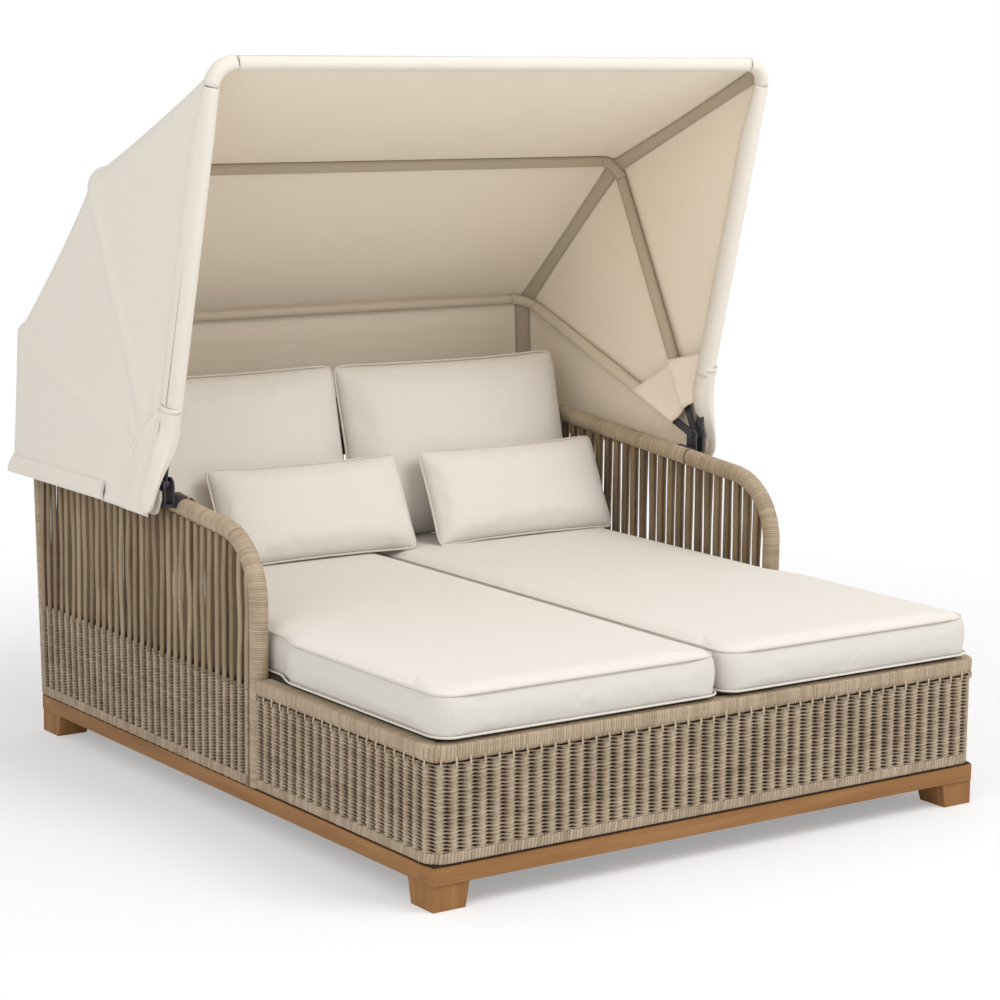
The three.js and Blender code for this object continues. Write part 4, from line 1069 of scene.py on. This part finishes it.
def seat_outline(side, inset):
    """A seat cushion's outline in plan, wider ahead of the arms. Inset moves it inwards."""
    front = BOX_FRONT_Y + SEAT_FRONT_GAP
    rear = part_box("left_seat_cushion")[1][1] - SEAT_REAR_GAP
    half_w, half_l = (SEAT_OUTER_X - SEAT_INNER_X) / 2, (rear - front) / 2
    outline = refined(rounded_outline(2 * half_w, 2 * half_l, SEAT_CORNER, SEAT_CORNER, 7), 0.02)
    outline = outline * np.array([1 - inset / half_w, 1 - inset / half_l])
    x, y = outline[:, 0] + (SEAT_INNER_X + SEAT_OUTER_X) / 2, outline[:, 1] + (front + rear) / 2
    flare = SEAT_FLARE * (1 - smooth((y - (ARM_POST_Y - 0.15)) / 0.11)) * smooth((x - 0.4) / 0.3)
    return np.stack([side * (x + flare), y], -1)


def seat_ring(side, inset, z):
    """A seat cushion's outline in plan at one height."""
    plan = seat_outline(side, inset)
    return np.column_stack([plan, np.full(len(plan), z)])


def seat_levels(low_z, high_z):
    """Inset and height of each ring of a seat cushion, from its bottom's middle to its top's middle."""
    seam = low_z + 0.099
    return [(0.30, low_z), (0.12, low_z), (0.03, low_z), (0.010, low_z + 0.001), (0.003, low_z + 0.005),
            (0.0015, low_z + 0.010), (0.0035, low_z + 0.016), (0.0008, low_z + 0.035), (0.0, low_z + 0.055),
            (0.0012, low_z + 0.075), (0.004, low_z + 0.088), (0.0075, seam - 0.003), (0.0115, seam),
            (0.022, seam + 0.0035), (0.05, seam + 0.008), (0.12, high_z - 0.0028), (0.22, high_z - 0.0008),
            (0.30, high_z)]


def swelled(piece, low, high):
    """Fills a seat cushion with air by simulation, on an even mesh, with its underside kept flat."""
    remesh = piece.modifiers.new("remesh", "REMESH")
    remesh.mode, remesh.voxel_size = "VOXEL", SEAT_VOXEL
    solid = bpy.data.meshes.new_from_object(piece.evaluated_get(bpy.context.evaluated_depsgraph_get()))
    piece.modifiers.remove(remesh)
    piece.data = solid
    solid.materials.clear()
    solid.materials.append(seat_look)
    start = mesh_points(piece)
    full = blown(piece, frames=14, pressure=3.0, bending=2.0, stiffness=30.0)
    moved = capped(full - start, SEAT_MOVE)
    moved[:, 2] = np.where(start[:, 2] < low[2] + 0.03, 0, moved[:, 2])
    centre, half = (low + high) / 2, (high - low) / 2
    set_points(piece, centre + np.clip(start + moved - centre, -half, half))
    solid.polygons.foreach_set("use_smooth", np.full(len(solid.polygons), True))
    subdivided(piece)


def add_seat_cushion(name, side):
    node = f"{name}_seat_cushion"
    low, high = (np.array(v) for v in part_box(node))
    rings = np.array([seat_ring(side, inset, z) for inset, z in seat_levels(low[2], high[2])])
    shape = Shape()
    shape.tube(rings[:, ::-1] if side < 0 else rings)
    piece = shape.make(node + "_cover", [seat_look], None)
    swelled(piece, low, high)
    cushion_in_place(piece, node)
    cord = Shape()
    for inset, height in SEAT_SEAMS:
        piping(cord, seat_ring(side, inset, low[2] + height), SEAT_PIPING_RADIUS)
    cord.make(node + "_piping", [piping_look], "frame")


def add_cushions():
    for name, side in SIDES:
        add_seat_cushion(name, side)
    for kind, (size, lean, cell, most, seed) in PILLOWS.items():
        for k, (name, _) in enumerate(SIDES):
            add_pillow(f"{name}_{kind}", size, lean, cell, most, seed + k)


# Canopy
def along_bow(name):
    """The direction of a bow's legs, away from the pivot."""
    angle = math.radians(BOWS[name][1])
    return np.array([0.0, math.cos(angle), math.sin(angle)])


def ahead_of_bow(name):
    """The direction square to a bow's plane, in which it turns forward."""
    angle = math.radians(BOWS[name][1])
    return np.array([0.0, -math.sin(angle), math.cos(angle)])


def on_leg(name, reach):
    """The place of a bow's leg, in the middle plane, at a distance from the pivot."""
    return PIVOT + along_bow(name) * reach


def stand_off(name):
    """Direction, in the YZ plane, in which the cloth stands off a bow."""
    names = list(BOWS)

    def face(a, b):
        _, run_y, run_z = unit(on_leg(b, BOWS[b][0]) - on_leg(a, BOWS[a][0]))
        return np.array([-run_z, run_y])

    ahead, behind = face(names[0], names[1]), face(names[1], names[2])
    rearward = np.array([1.0, 0.0])
    sides = {"front_bow": (ahead, ahead), "middle_bow": (ahead, behind), "rear_bow": (behind, rearward)}
    return unit(sum(sides[name]))


def bow_stations(name, inner):
    """A bow's centre line from the left leg over the top to the right one.

    A row has x, the reach from the pivot, and the outward direction across the legs and along them.
    """
    reach = BOWS[name][0]
    leg_top = reach - BOW_BEND
    leg = np.linspace(inner, leg_top, LEG_STEPS)
    rows = [(-BOW_X, r, -1.0, 0.0) for r in leg[:-1]]
    for a in np.radians(np.linspace(180, 90, BEND_STEPS)):
        rows.append((BOW_BEND - BOW_X + BOW_BEND * math.cos(a), leg_top + BOW_BEND * math.sin(a),
                     math.cos(a), math.sin(a)))
    half = BOW_X - BOW_BEND
    top = [(x, reach, 0.0, 1.0) for x in np.linspace(-half, half, TOP_STEPS)[1:-1]]
    right = [(-x, r, -ox, ou) for x, r, ox, ou in rows[::-1]]
    return np.array(rows + top + right)


def cloth_line(name, inner):
    """The cloth's line over a bow, its outward direction and how freely it may sag."""
    reach, angle, radius = BOWS[name]
    angle = math.radians(angle)
    offset = radius + CLOTH_GAP
    away = stand_off(name)
    x, r, out_x, out_up = bow_stations(name, inner).T
    leg_top = reach - BOW_BEND
    low = np.clip(1 - r / leg_top, 0, 1)
    spread = CLOTH_X - BOW_X - offset
    points = np.stack([
        x + out_x * (offset + spread * low),
        PIVOT[1] + r * math.cos(angle) + out_up * offset * away[0],
        PIVOT[2] + r * math.sin(angle) + out_up * offset * away[1]], -1)
    outward = np.stack([out_x, out_up * away[0], out_up * away[1]], -1)
    sag = CLOTH_SAG * (out_up + (1 - out_up) * 0.5) * (1 - low)
    return points, outward, sag, r / reach


def grid_normals(rows):
    return unit(np.cross(np.gradient(rows, axis=1), np.gradient(rows, axis=0)))


def joined_normals(rows, outward, gap):
    """A panel's normals, turned to a bow's outward direction near it, so that neighbours shade alike."""
    near = np.exp(-(gap / JOIN_WIDTH) ** 2)[..., None]
    return unit(grid_normals(rows) * (1 - near) + outward * near)


def shell(shape, rows, thickness, slots, normal=None):
    """A thin closed sheet from a grid of points.

    Of the two slots, the first is the material of the side that the grid's normals point to. With the normals
    of a larger grid that it is cut from, its shading runs on into the next piece.
    """
    count, across = rows.shape[:2]
    cut = normal is not None
    normal = normal if cut else grid_normals(rows)
    outer = rows + normal * thickness
    faces = grid_faces(count, across)
    total = count * across
    rim = np.concatenate([np.arange(across), (np.arange(1, count) + 1) * across - 1,
                          total - 2 - np.arange(across - 1), np.arange(count - 2, 0, -1) * across])
    after = np.roll(rim, -1)
    edge = np.stack([rim, after, after + total, rim + total], -1)
    points = np.concatenate([rows.reshape(-1, 3), outer.reshape(-1, 3)])
    shading = np.concatenate([-normal.reshape(-1, 3), normal.reshape(-1, 3)]) if cut else None
    shape.add(points, [faces + total], slot=slots[0], normals=shading)
    shape.join([edge[:, ::-1]], 2 * total, slots[0], rounded=False)
    shape.join([faces[:, ::-1]], 2 * total, slots[1])


def cloth_piece(name, rows, looks, body=None, thickness=TRIM_THICKNESS, normal=None):
    """A piece of canopy cloth. The first look is that of the side which the normals point to."""
    shape = Shape()
    shell(shape, rows, thickness, (0, len(looks) - 1), normal)
    return shape.make(name, looks, body)


def ripple(column, share, reach, seed):
    """Soft unevenness of taut cloth between two bows: broad waves, and pleats that run to the pivot."""
    rng = np.random.default_rng(seed)
    free = np.sin(math.pi * share)[:, None]
    waves = np.zeros((len(share), len(column)))
    for order in (1.5, 2.5, 4.0, 6.5):
        shift = rng.uniform(0, TAU, 2)
        waves += rng.normal(0, 0.0012 / order ** 0.5) * np.sin(order * column[None] * TAU + shift[0]
                                                             + 1.5 * share[:, None] + shift[1])
    low = smooth((0.42 - reach) / 0.3)[None]
    pleats = 0.0042 * low * np.sin(TAU * 2.2 * share[:, None] + rng.uniform(0, 1)) * free
    return waves * free + pleats


def panel_grid(front, rear, seed):
    """Grid of the cloth between two bows: rows from the front bow to the rear one."""
    a, out_a, sag, reach = cloth_line(front, PANEL_START)
    b, out_b, _, _ = cloth_line(rear, PANEL_START)
    share = np.linspace(0, 1, PANEL_STEPS)
    share = share - np.sin(TAU * share) / TAU * 0.85
    t = share[:, None, None]
    outward = unit(out_a[None] * (1 - t) + out_b[None] * t)
    column = np.linspace(0, 1, len(a))
    depth = 4 * share[:, None] * (1 - share[:, None]) * sag[None] - ripple(column, share, reach, seed)
    gap = np.minimum(share, 1 - share)[:, None] * np.linalg.norm(b - a, axis=1)[None]
    depth = depth + RIDGE * (1 - np.exp(-(gap / RIDGE_WIDTH) ** 2))
    return a[None] * (1 - t) + b[None] * t - outward * depth[..., None], outward, reach, gap


def blended(piece, rear, front, rear_reach, front_reach):
    """Bakes a piece of cloth between two bows into its place; it isn't made to turn with them."""
    tuple(on_leg(rear, rear_reach))
    tuple(on_leg(front, front_reach))
    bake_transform(piece)
    return piece


def add_cloth_panel(name, front, rear, node, seed, extras):
    """A section of canopy: its top in one piece, and side gores in bands."""
    grid, outward, reach, gap = panel_grid(front, rear, seed)
    normal = joined_normals(grid, outward, gap)
    bend_start = LEG_STEPS - 1
    last = grid.shape[1] - 1
    middle = slice(bend_start, last - bend_start + 1)
    sheet = cloth_piece(f"{name}_cloth", grid[:, middle], canopy_sides, thickness=CANOPY_THICKNESS,
                        normal=normal[:, middle])
    rear_reach, front_reach = BOWS[rear][0], BOWS[front][0]
    blended(sheet, rear, front, rear_reach * BLEND_SHARE, front_reach * BLEND_SHARE)
    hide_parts(node)
    bands = []
    for side, flip in (("left", False), ("right", True)):
        for k, (low, high) in enumerate(zip(GORE_EDGES, GORE_EDGES[1:])):
            columns = slice(last - high, last - low + 1) if flip else slice(low, high + 1)
            band = cloth_piece(f"{name}_{side}_gore_{k + 1}", grid[:, columns], canopy_sides,
                               thickness=CANOPY_THICKNESS, normal=normal[:, columns])
            share = float(reach[low])
            bands.append(blended(band, rear, front, rear_reach * share, front_reach * share))
    bands += add_tapes(name, front, rear, grid, outward, bend_start, last)


def add_tapes(name, front, rear, grid, outward, bend_start, last):
    """Flat tapes that line the corner seams from bow to bow, a little inside the cloth."""
    made = []
    middle = bend_start + (BEND_STEPS - 1) // 2
    for side, centre in (("left", middle), ("right", last - middle)):
        columns = slice(centre - 2, centre + 3)
        strip = grid[:, columns] - outward[:, columns] * TAPE_DEPTH
        flat = (strip[:, :1] + strip[:, -1:]) / 2
        strip = strip * 0.5 + (flat + (strip - flat)) * 0.5
        tape = cloth_piece(f"{name}_{side}_corner_tape", strip, [tape_look])
        made.append(blended(tape, rear, front, BOWS[rear][0] * BLEND_SHARE, BOWS[front][0] * BLEND_SHARE))
    return made


def bow_path(name, inner):
    """A bow's centre line as evenly spaced points, from the left leg over the top to the right one."""
    reach = BOWS[name][0]
    ends = ((-BOW_X, inner), (-BOW_X, reach), (BOW_X, reach), (BOW_X, inner))
    corners = [on_leg(name, r) + x * X_AXIS for x, r in ends]
    return bent(corners, BOW_BEND, BOW_STEP)


def stretch_of(path, start, end):
    """The part of a line between two lengths along it."""
    at = np.linspace(start, end, max(3, int((end - start) / SLEEVE_STEP)))
    return points_at(at, lengths(path), path)


def sleeve_outline(form, tail, seed):
    """Outline of a loose cloth sleeve at each ring, from its form there, with small creases along it.

    A tail of 1 draws the outer rear side out into an edge that lies on the canopy's side.
    """
    wide, deep, shift = (form[:, i, None] for i in range(3))
    count = len(form)
    rng = np.random.default_rng(seed)
    turn = np.arange(SLEEVE_SIDES) * TAU / SLEEVE_SIDES
    creases = np.zeros((count, SLEEVE_SIDES))
    for order, size in ((2, 0.0006), (3, 0.0006), (5, 0.0003)):
        drift = np.cumsum(rng.normal(0, 0.05, count))
        creases += size * np.sin(order * turn[None] + drift[:, None] + rng.uniform(0, TAU))
    across, through = np.cos(turn)[None], np.sin(turn)[None]
    laid = -(deep - (deep - TAIL_LEVEL) * across ** 2) / deep
    through = np.where((across < 0) & (through < 0), through + (laid - through) * tail, through)
    return np.stack([across * (wide + creases) + shift, through * (deep + creases)], -1)


def add_sleeves():
    made = []
    for k, (name, (inner, gaps, leg, bend, top)) in enumerate(SLEEVES.items()):
        path = bow_path(name, inner)
        run = BOWS[name][0] - BOW_BEND - inner
        turn = BOW_BEND * math.pi / 2
        half = BOW_X - BOW_BEND
        stops = np.cumsum([0, run, turn, 2 * half, turn, run])
        shape = Shape()
        for j, form in enumerate((leg, bend, top, bend, leg)):
            low = stops[j] + {1: gaps[0], 2: gaps[1]}.get(j, 0)
            high = stops[j + 1] - {2: gaps[1], 3: gaps[0]}.get(j, 0)
            part = stretch_of(path, low, high)
            from_bend = np.linspace(0, high - low, len(part))[::-1 if j == 0 else 1]
            grown = smooth(from_bend / LEG_GROWTH)[:, None] if j in (0, 4) else np.ones((len(part), 1))
            tail = grown if form is leg and name == "front_bow" else 0
            outline = sleeve_outline(np.array(bend) + (np.array(form) - bend) * grown, tail, 101 + 7 * k + j)
            shape.tube(rings_on(part, ahead_of_bow(name), outline))
        look = {"front_bow": canopy_look, "middle_bow": tape_look, "rear_bow": bow_look}[name]
        made.append(shape.make(f"{name}_sleeve", [look], name))
    return made


def curtain_grid(line, outward, side):
    """Points of the curtain, from the rear bow down to the hem, with soft folds that grow downwards."""
    rng = np.random.default_rng(111)
    share = np.linspace(0, 1, CURTAIN_ROWS)[:, None]
    ahead = np.maximum(0, 1 - (line[:, 1] - line[0, 1]) / CURTAIN_CORNER)
    lift = CURTAIN_CORNER * (1 - np.sqrt(1 - ahead ** 2))
    side_x = np.sign(line[:, 0]) * CLOTH_X * side + line[:, 0] * (1 - side)
    column = np.linspace(0, 1, len(line))[None]
    folds = np.zeros((CURTAIN_ROWS, len(line)))
    for order in (5, 9, 14, 22):
        size = rng.normal(0, CURTAIN_FOLD / order ** 0.5)
        folds += size * np.sin(TAU * order * column + rng.uniform(0, TAU) + 0.6 * share)
    folds = np.abs(folds * share ** 1.2)
    x = line[:, 0] + (side_x - line[:, 0]) * share + outward[:, 0] * folds
    y = line[:, 1] + (CURTAIN_FLARE * share ** 2 + folds) * (1 - side)
    z = line[:, 2] + (HEM_Z + lift - line[:, 2]) * share
    return np.stack([x, y, z], -1)


def curtain_hem(grid, direction, rear_share):
    """The turned-up hem's grid, which swells out a little, and more at the rear corners."""
    drop = np.clip((grid[:, :, 2] - grid[-1:, :, 2]), 0, None)
    strip = []
    for height in np.linspace(HEM_HEIGHT, 0, HEM_STEPS):
        level = np.empty((grid.shape[1], 3))
        for i in range(len(level)):
            level[i] = [np.interp(-height, -drop[:, i], grid[:, i, axis]) for axis in range(3)]
        strip.append(level)
    down = np.linspace(0, 1, HEM_STEPS)[:, None]
    corner = rear_share * np.abs(direction[:, 0] * direction[:, 1]) * 2
    swell = 0.0004 + HEM_SWELL * np.sin(down * math.pi * 0.75) + HEM_CORNER_SWELL * corner[None] * down
    return np.array(strip) + direction[None] * swell[..., None]


def curtain_tapes(body, grid, line, direction, side):
    """Tapes sewn inside the curtain, down its two rear corners."""
    made = []
    for label, sign in SIDES:
        bend = np.flatnonzero((side > 0.05) & (side < 0.95) & (line[:, 0] * sign > 0))
        middle = int(np.median(bend))
        columns = slice(middle - 2, middle + 3)
        strip = grid[1:36, columns] - CURTAIN_TAPE_DEPTH * direction[columns]
        made.append(cloth_piece(f"rear_curtain_{label}_corner_tape", strip, [tape_look], body))
    return made


def add_curtain():
    """The curtain that hangs from the rear bow round the sides and the back, with a turned-up hem."""
    name = "rear_bow"
    line, outward, _, _ = cloth_line(name, CURTAIN_START)
    side = np.abs(outward[:, 0])
    direction = unit(np.stack([outward[:, 0], 1 - side, np.zeros(len(side))], -1))
    grid = curtain_grid(line, outward, side)
    gap = np.linalg.norm(grid - grid[:1], axis=2)
    normal = joined_normals(grid, outward[None], gap)
    curtain = cloth_piece("rear_curtain", grid, canopy_sides, name, CANOPY_THICKNESS, normal)
    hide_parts("rear_canopy_curtain")
    kept = (line[:, 1] > FLAP_FOOT[1] - 0.02) | (side < 0.5)
    rear_share = np.exp(-((line[kept, 1] - line[:, 1].max()) / 0.09) ** 2)
    hem = curtain_hem(grid[:, kept], direction[kept], rear_share)
    band = cloth_piece("rear_curtain_hem", hem, [canopy_look], name)
    tapes = curtain_tapes(name, grid, line, direction, side)


def add_pouches():
    """Loose cloth pouches that cover the lower ends of the front bow, outside the arms."""
    made = []
    r = np.linspace(POUCH_START, POUCH_END, POUCH_RINGS)
    low = smooth((0.15 - r) / 0.20)
    end = np.sqrt(np.clip(1 - np.clip((-0.028 - r) / 0.040, 0, 1) ** 2, 0.004, 1))
    wide = (POUCH_HALF_WIDTH + 0.0020 * low) * end
    swell = 0.0050 * np.exp(-((r - 0.10) / 0.05) ** 2)
    deep = (POUCH_HALF_DEPTH + swell - 0.0150 * low) * (0.35 + 0.65 * end)
    turn = np.arange(POUCH_SIDES) * TAU / POUCH_SIDES
    for k, (name, side) in enumerate(SIDES):
        rng = np.random.default_rng(121 + k)
        x = side * (BOW_X + 0.004 + POUCH_OUTWARD * low)
        offset = np.stack([x, 0.009 - 0.015 * low, np.zeros(POUCH_RINGS)], -1)
        centre = PIVOT + r[:, None] * along_bow("front_bow") + offset
        folds = POUCH_FOLD * np.sin(5 * turn[None] + 0.8 * np.sin(r[:, None] * 14) + rng.uniform(0, TAU))
        folds = folds * smooth((0.19 - r) / 0.05)[:, None]
        outline = np.stack([np.cos(turn)[None] * (deep[:, None] + folds * 0.4),
                            np.sin(turn)[None] * (wide[:, None] + folds)], -1)
        shape = Shape()
        shape.tube(rings_on(centre, X_AXIS, outline))
        shape.tube(rings_on(centre[:3], X_AXIS, outline[:3] * 1.015))
        pouch = shape.make(f"{name}_bow_pouch", [canopy_look], "front_bow")
        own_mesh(pouch)
        made.append(pouch)
    return made


def add_patches(front, rear, outer, inner, seed):
    """Cloth patches inside the canopy, slung from bow to bow over the lower ends of their sleeves."""
    made = []
    rng = np.random.default_rng(seed)
    columns = np.linspace(0, 1, PATCH_COLUMNS)
    a = np.array([on_leg(front, outer[0] + (inner[0] - outer[0]) * c) for c in columns])
    b = np.array([on_leg(rear, outer[1] + (inner[1] - outer[1]) * c) for c in columns])
    width = np.linalg.norm(b - a, axis=1)
    steps = np.concatenate([-PATCH_TURN[::-1], np.linspace(0, 1, PATCH_STEPS), 1 + PATCH_TURN])
    for name, side in SIDES:
        rows = []
        for step in steps:
            share = np.clip(step, 0, 1)
            past = step - share
            point = a + (b - a) * share + (b - a) / width[:, None] * past
            round_tube = PATCH_LIFT - math.sqrt(PATCH_LIFT ** 2 - past ** 2)
            sling = PATCH_SLING * math.sin(math.pi * share) + 0.0006 * rng.normal(0, 1)
            point[:, 0] = side * (BOW_X - PATCH_LIFT + round_tube + sling)
            rows.append(point)
        rows = np.array(rows)
        piece = cloth_piece(f"{name}_{front}_patch", rows if side > 0 else rows[:, ::-1], [inside_painted_light_look])
        made.append(blended(piece, rear, front, inner[1], inner[0]))
    return made


def add_flaps():
    """Loose flaps outside the arms, sewn to the front bow's pouches and reaching back to the hem."""
    made = []
    down = np.linspace(0, 1, FLAP_ROWS)[:, None]
    back = np.linspace(0, 1, FLAP_COLUMNS)[None]
    near = FLAP_TOP[0] + (FLAP_FOOT[0] - FLAP_TOP[0]) * down
    far = FLAP_TOP[1] + (FLAP_FOOT[1] - FLAP_TOP[1]) * down ** 0.85
    y = near + (far - near) * back
    z = FLAP_TOP[2] + (FLAP_FOOT[2] - FLAP_TOP[2]) * down - 0.012 * np.sin(math.pi * back) * (1 - down)
    flare = FLAP_FLARE * down * (1 - back) ** 1.5
    tucked = FLAP_TOP_TUCK * (1 - smooth(down / 0.16))
    tucked = tucked + FLAP_REAR_TUCK * smooth((back - 0.7) / 0.3) * (1 - smooth((down - 0.75) / 0.2))
    for k, (name, side) in enumerate(SIDES):
        rng = np.random.default_rng(141 + k)
        folds = FLAP_FOLDS[0] * np.sin(TAU * (1.6 * back + 0.5 * down) + rng.uniform(0, 1))
        folds = folds + FLAP_FOLDS[1] * np.sin(TAU * (3.3 * back - 0.4 * down) + rng.uniform(0, 1))
        folds = folds * np.sin(math.pi * back) ** 0.7 * (0.35 + 0.65 * np.sin(math.pi * down))
        x = side * (CLOTH_X + FLAP_OFFSET + flare + folds - tucked - 0.002 * back)
        rows = np.stack(np.broadcast_arrays(x, y, z), -1)
        rows = rows if side > 0 else rows[:, ::-1]
        made.append(cloth_piece(f"{name}_canopy_flap", rows, canopy_sides[::-1], "front_bow"))
    return made


def add_canopy():
    front, middle, rear = add_sleeves()
    add_cloth_panel("front_section", "front_bow", "middle_bow", "front_canopy_panel", 131,
                    [front, *add_pouches(), *add_flaps(),
                     *add_patches("front_bow", "middle_bow", (0.245, 0.225), (0.108, 0.082), 151)])
    add_cloth_panel("middle_section", "middle_bow", "rear_bow", "middle_canopy_panel", 132,
                    [middle, *add_patches("middle_bow", "rear_bow", (0.215, 0.280), (0.078, 0.085), 152)])
    add_curtain()


# Stage, light and camera
def add_stage():
    look = Look("floor_white")
    tree = look.tree
    look.done(rgb("#f0f0f0"), 0.9, Specular_IOR_Level=0.0)
    glow = look.node("ShaderNodeEmission", {"Color": (1, 1, 1, 1), "Strength": 1.0})
    path = look.node("ShaderNodeLightPath")
    seen = look.math("MAXIMUM", path.outputs["Is Camera Ray"], path.outputs["Is Glossy Ray"])
    seen = look.math("MAXIMUM", seen, path.outputs["Is Transmission Ray"])
    away = look.node("ShaderNodeVectorMath", {0: look.place}, operation="LENGTH").outputs["Value"]
    fade = {"Value": away, "From Min": FLOOR_FADE[0], "From Max": FLOOR_FADE[1], "To Min": FLOOR_LEAST_WHITE,
            "To Max": 1.0}
    white = look.node("ShaderNodeMapRange", fade, interpolation_type="SMOOTHSTEP").outputs[0]
    share = look.math("MULTIPLY", seen, white)
    mix = look.node("ShaderNodeMixShader", {0: share, 1: look.shader.outputs[0], 2: glow.outputs[0]})
    tree.links.new(mix.outputs[0], tree.nodes["Material Output"].inputs["Surface"])
    points = [(x * FLOOR_HALF, y * FLOOR_HALF, 0) for x, y in ((-1, -1), (1, -1), (1, 1), (-1, 1))]
    mesh = bpy.data.meshes.new("floor")
    mesh.from_pydata(points, [], [(0, 1, 2, 3)])
    mesh.materials.append(look.material)
    added("floor", mesh)


def add_light():
    scene = bpy.context.scene
    scene.view_settings.view_transform = "Standard"
    world = bpy.data.worlds.new("studio")
    scene.world = world
    world.use_nodes = True
    nodes, links = world.node_tree.nodes, world.node_tree.links
    soft = nodes["Background"]
    white = nodes.new("ShaderNodeBackground")
    for background, level in ((soft, WORLD_LEVEL), (white, 1.0)):
        background.inputs["Color"].default_value = (1, 1, 1, 1)
        background.inputs["Strength"].default_value = level
    path = nodes.new("ShaderNodeLightPath")
    mix = nodes.new("ShaderNodeMixShader")
    links.new(path.outputs["Is Camera Ray"], mix.inputs[0])
    links.new(soft.outputs[0], mix.inputs[1])
    links.new(white.outputs[0], mix.inputs[2])
    links.new(mix.outputs[0], nodes["World Output"].inputs["Surface"])
    for name, place, size, power in LAMPS:
        light = bpy.data.lights.new(name, "AREA")
        light.shape, light.size, light.energy = "SQUARE", size, power
        obj = added(name, light)
        obj.location = place
        obj.rotation_mode = "QUATERNION"
        obj.rotation_quaternion = (Vector(LAMP_TARGET) - Vector(place)).to_track_quat("-Z", "Y")


def add_camera():
    azimuth, elevation, roll = (math.radians(v) for v in CAMERA_ANGLES)
    back = Vector((math.sin(azimuth) * math.cos(elevation), -math.cos(azimuth) * math.cos(elevation),
                   math.sin(elevation)))
    right = Vector((0, 0, 1)).cross(back).normalized()
    up = back.cross(right)
    turned = math.cos(roll) * right + math.sin(roll) * up
    upright = math.cos(roll) * up - math.sin(roll) * right
    camera = bpy.data.cameras.new("camera")
    camera.sensor_width, camera.lens = 36.0, CAMERA_LENS
    camera.clip_start, camera.clip_end = 0.1, 100.0
    obj = added("camera", camera)
    axes = Matrix((turned, upright, back)).transposed().to_4x4()
    obj.matrix_world = Matrix.Translation(CAMERA_PLACE) @ axes
    bpy.context.scene.camera = obj


add_camera()
add_light()
add_stage()
add_frame_looks()
add_woven_box()
add_rim()
add_arm_rails()
add_saddle_wraps()
add_back_frame()
add_arm_infill()
add_back_infill()
add_cushions()
add_canopy()
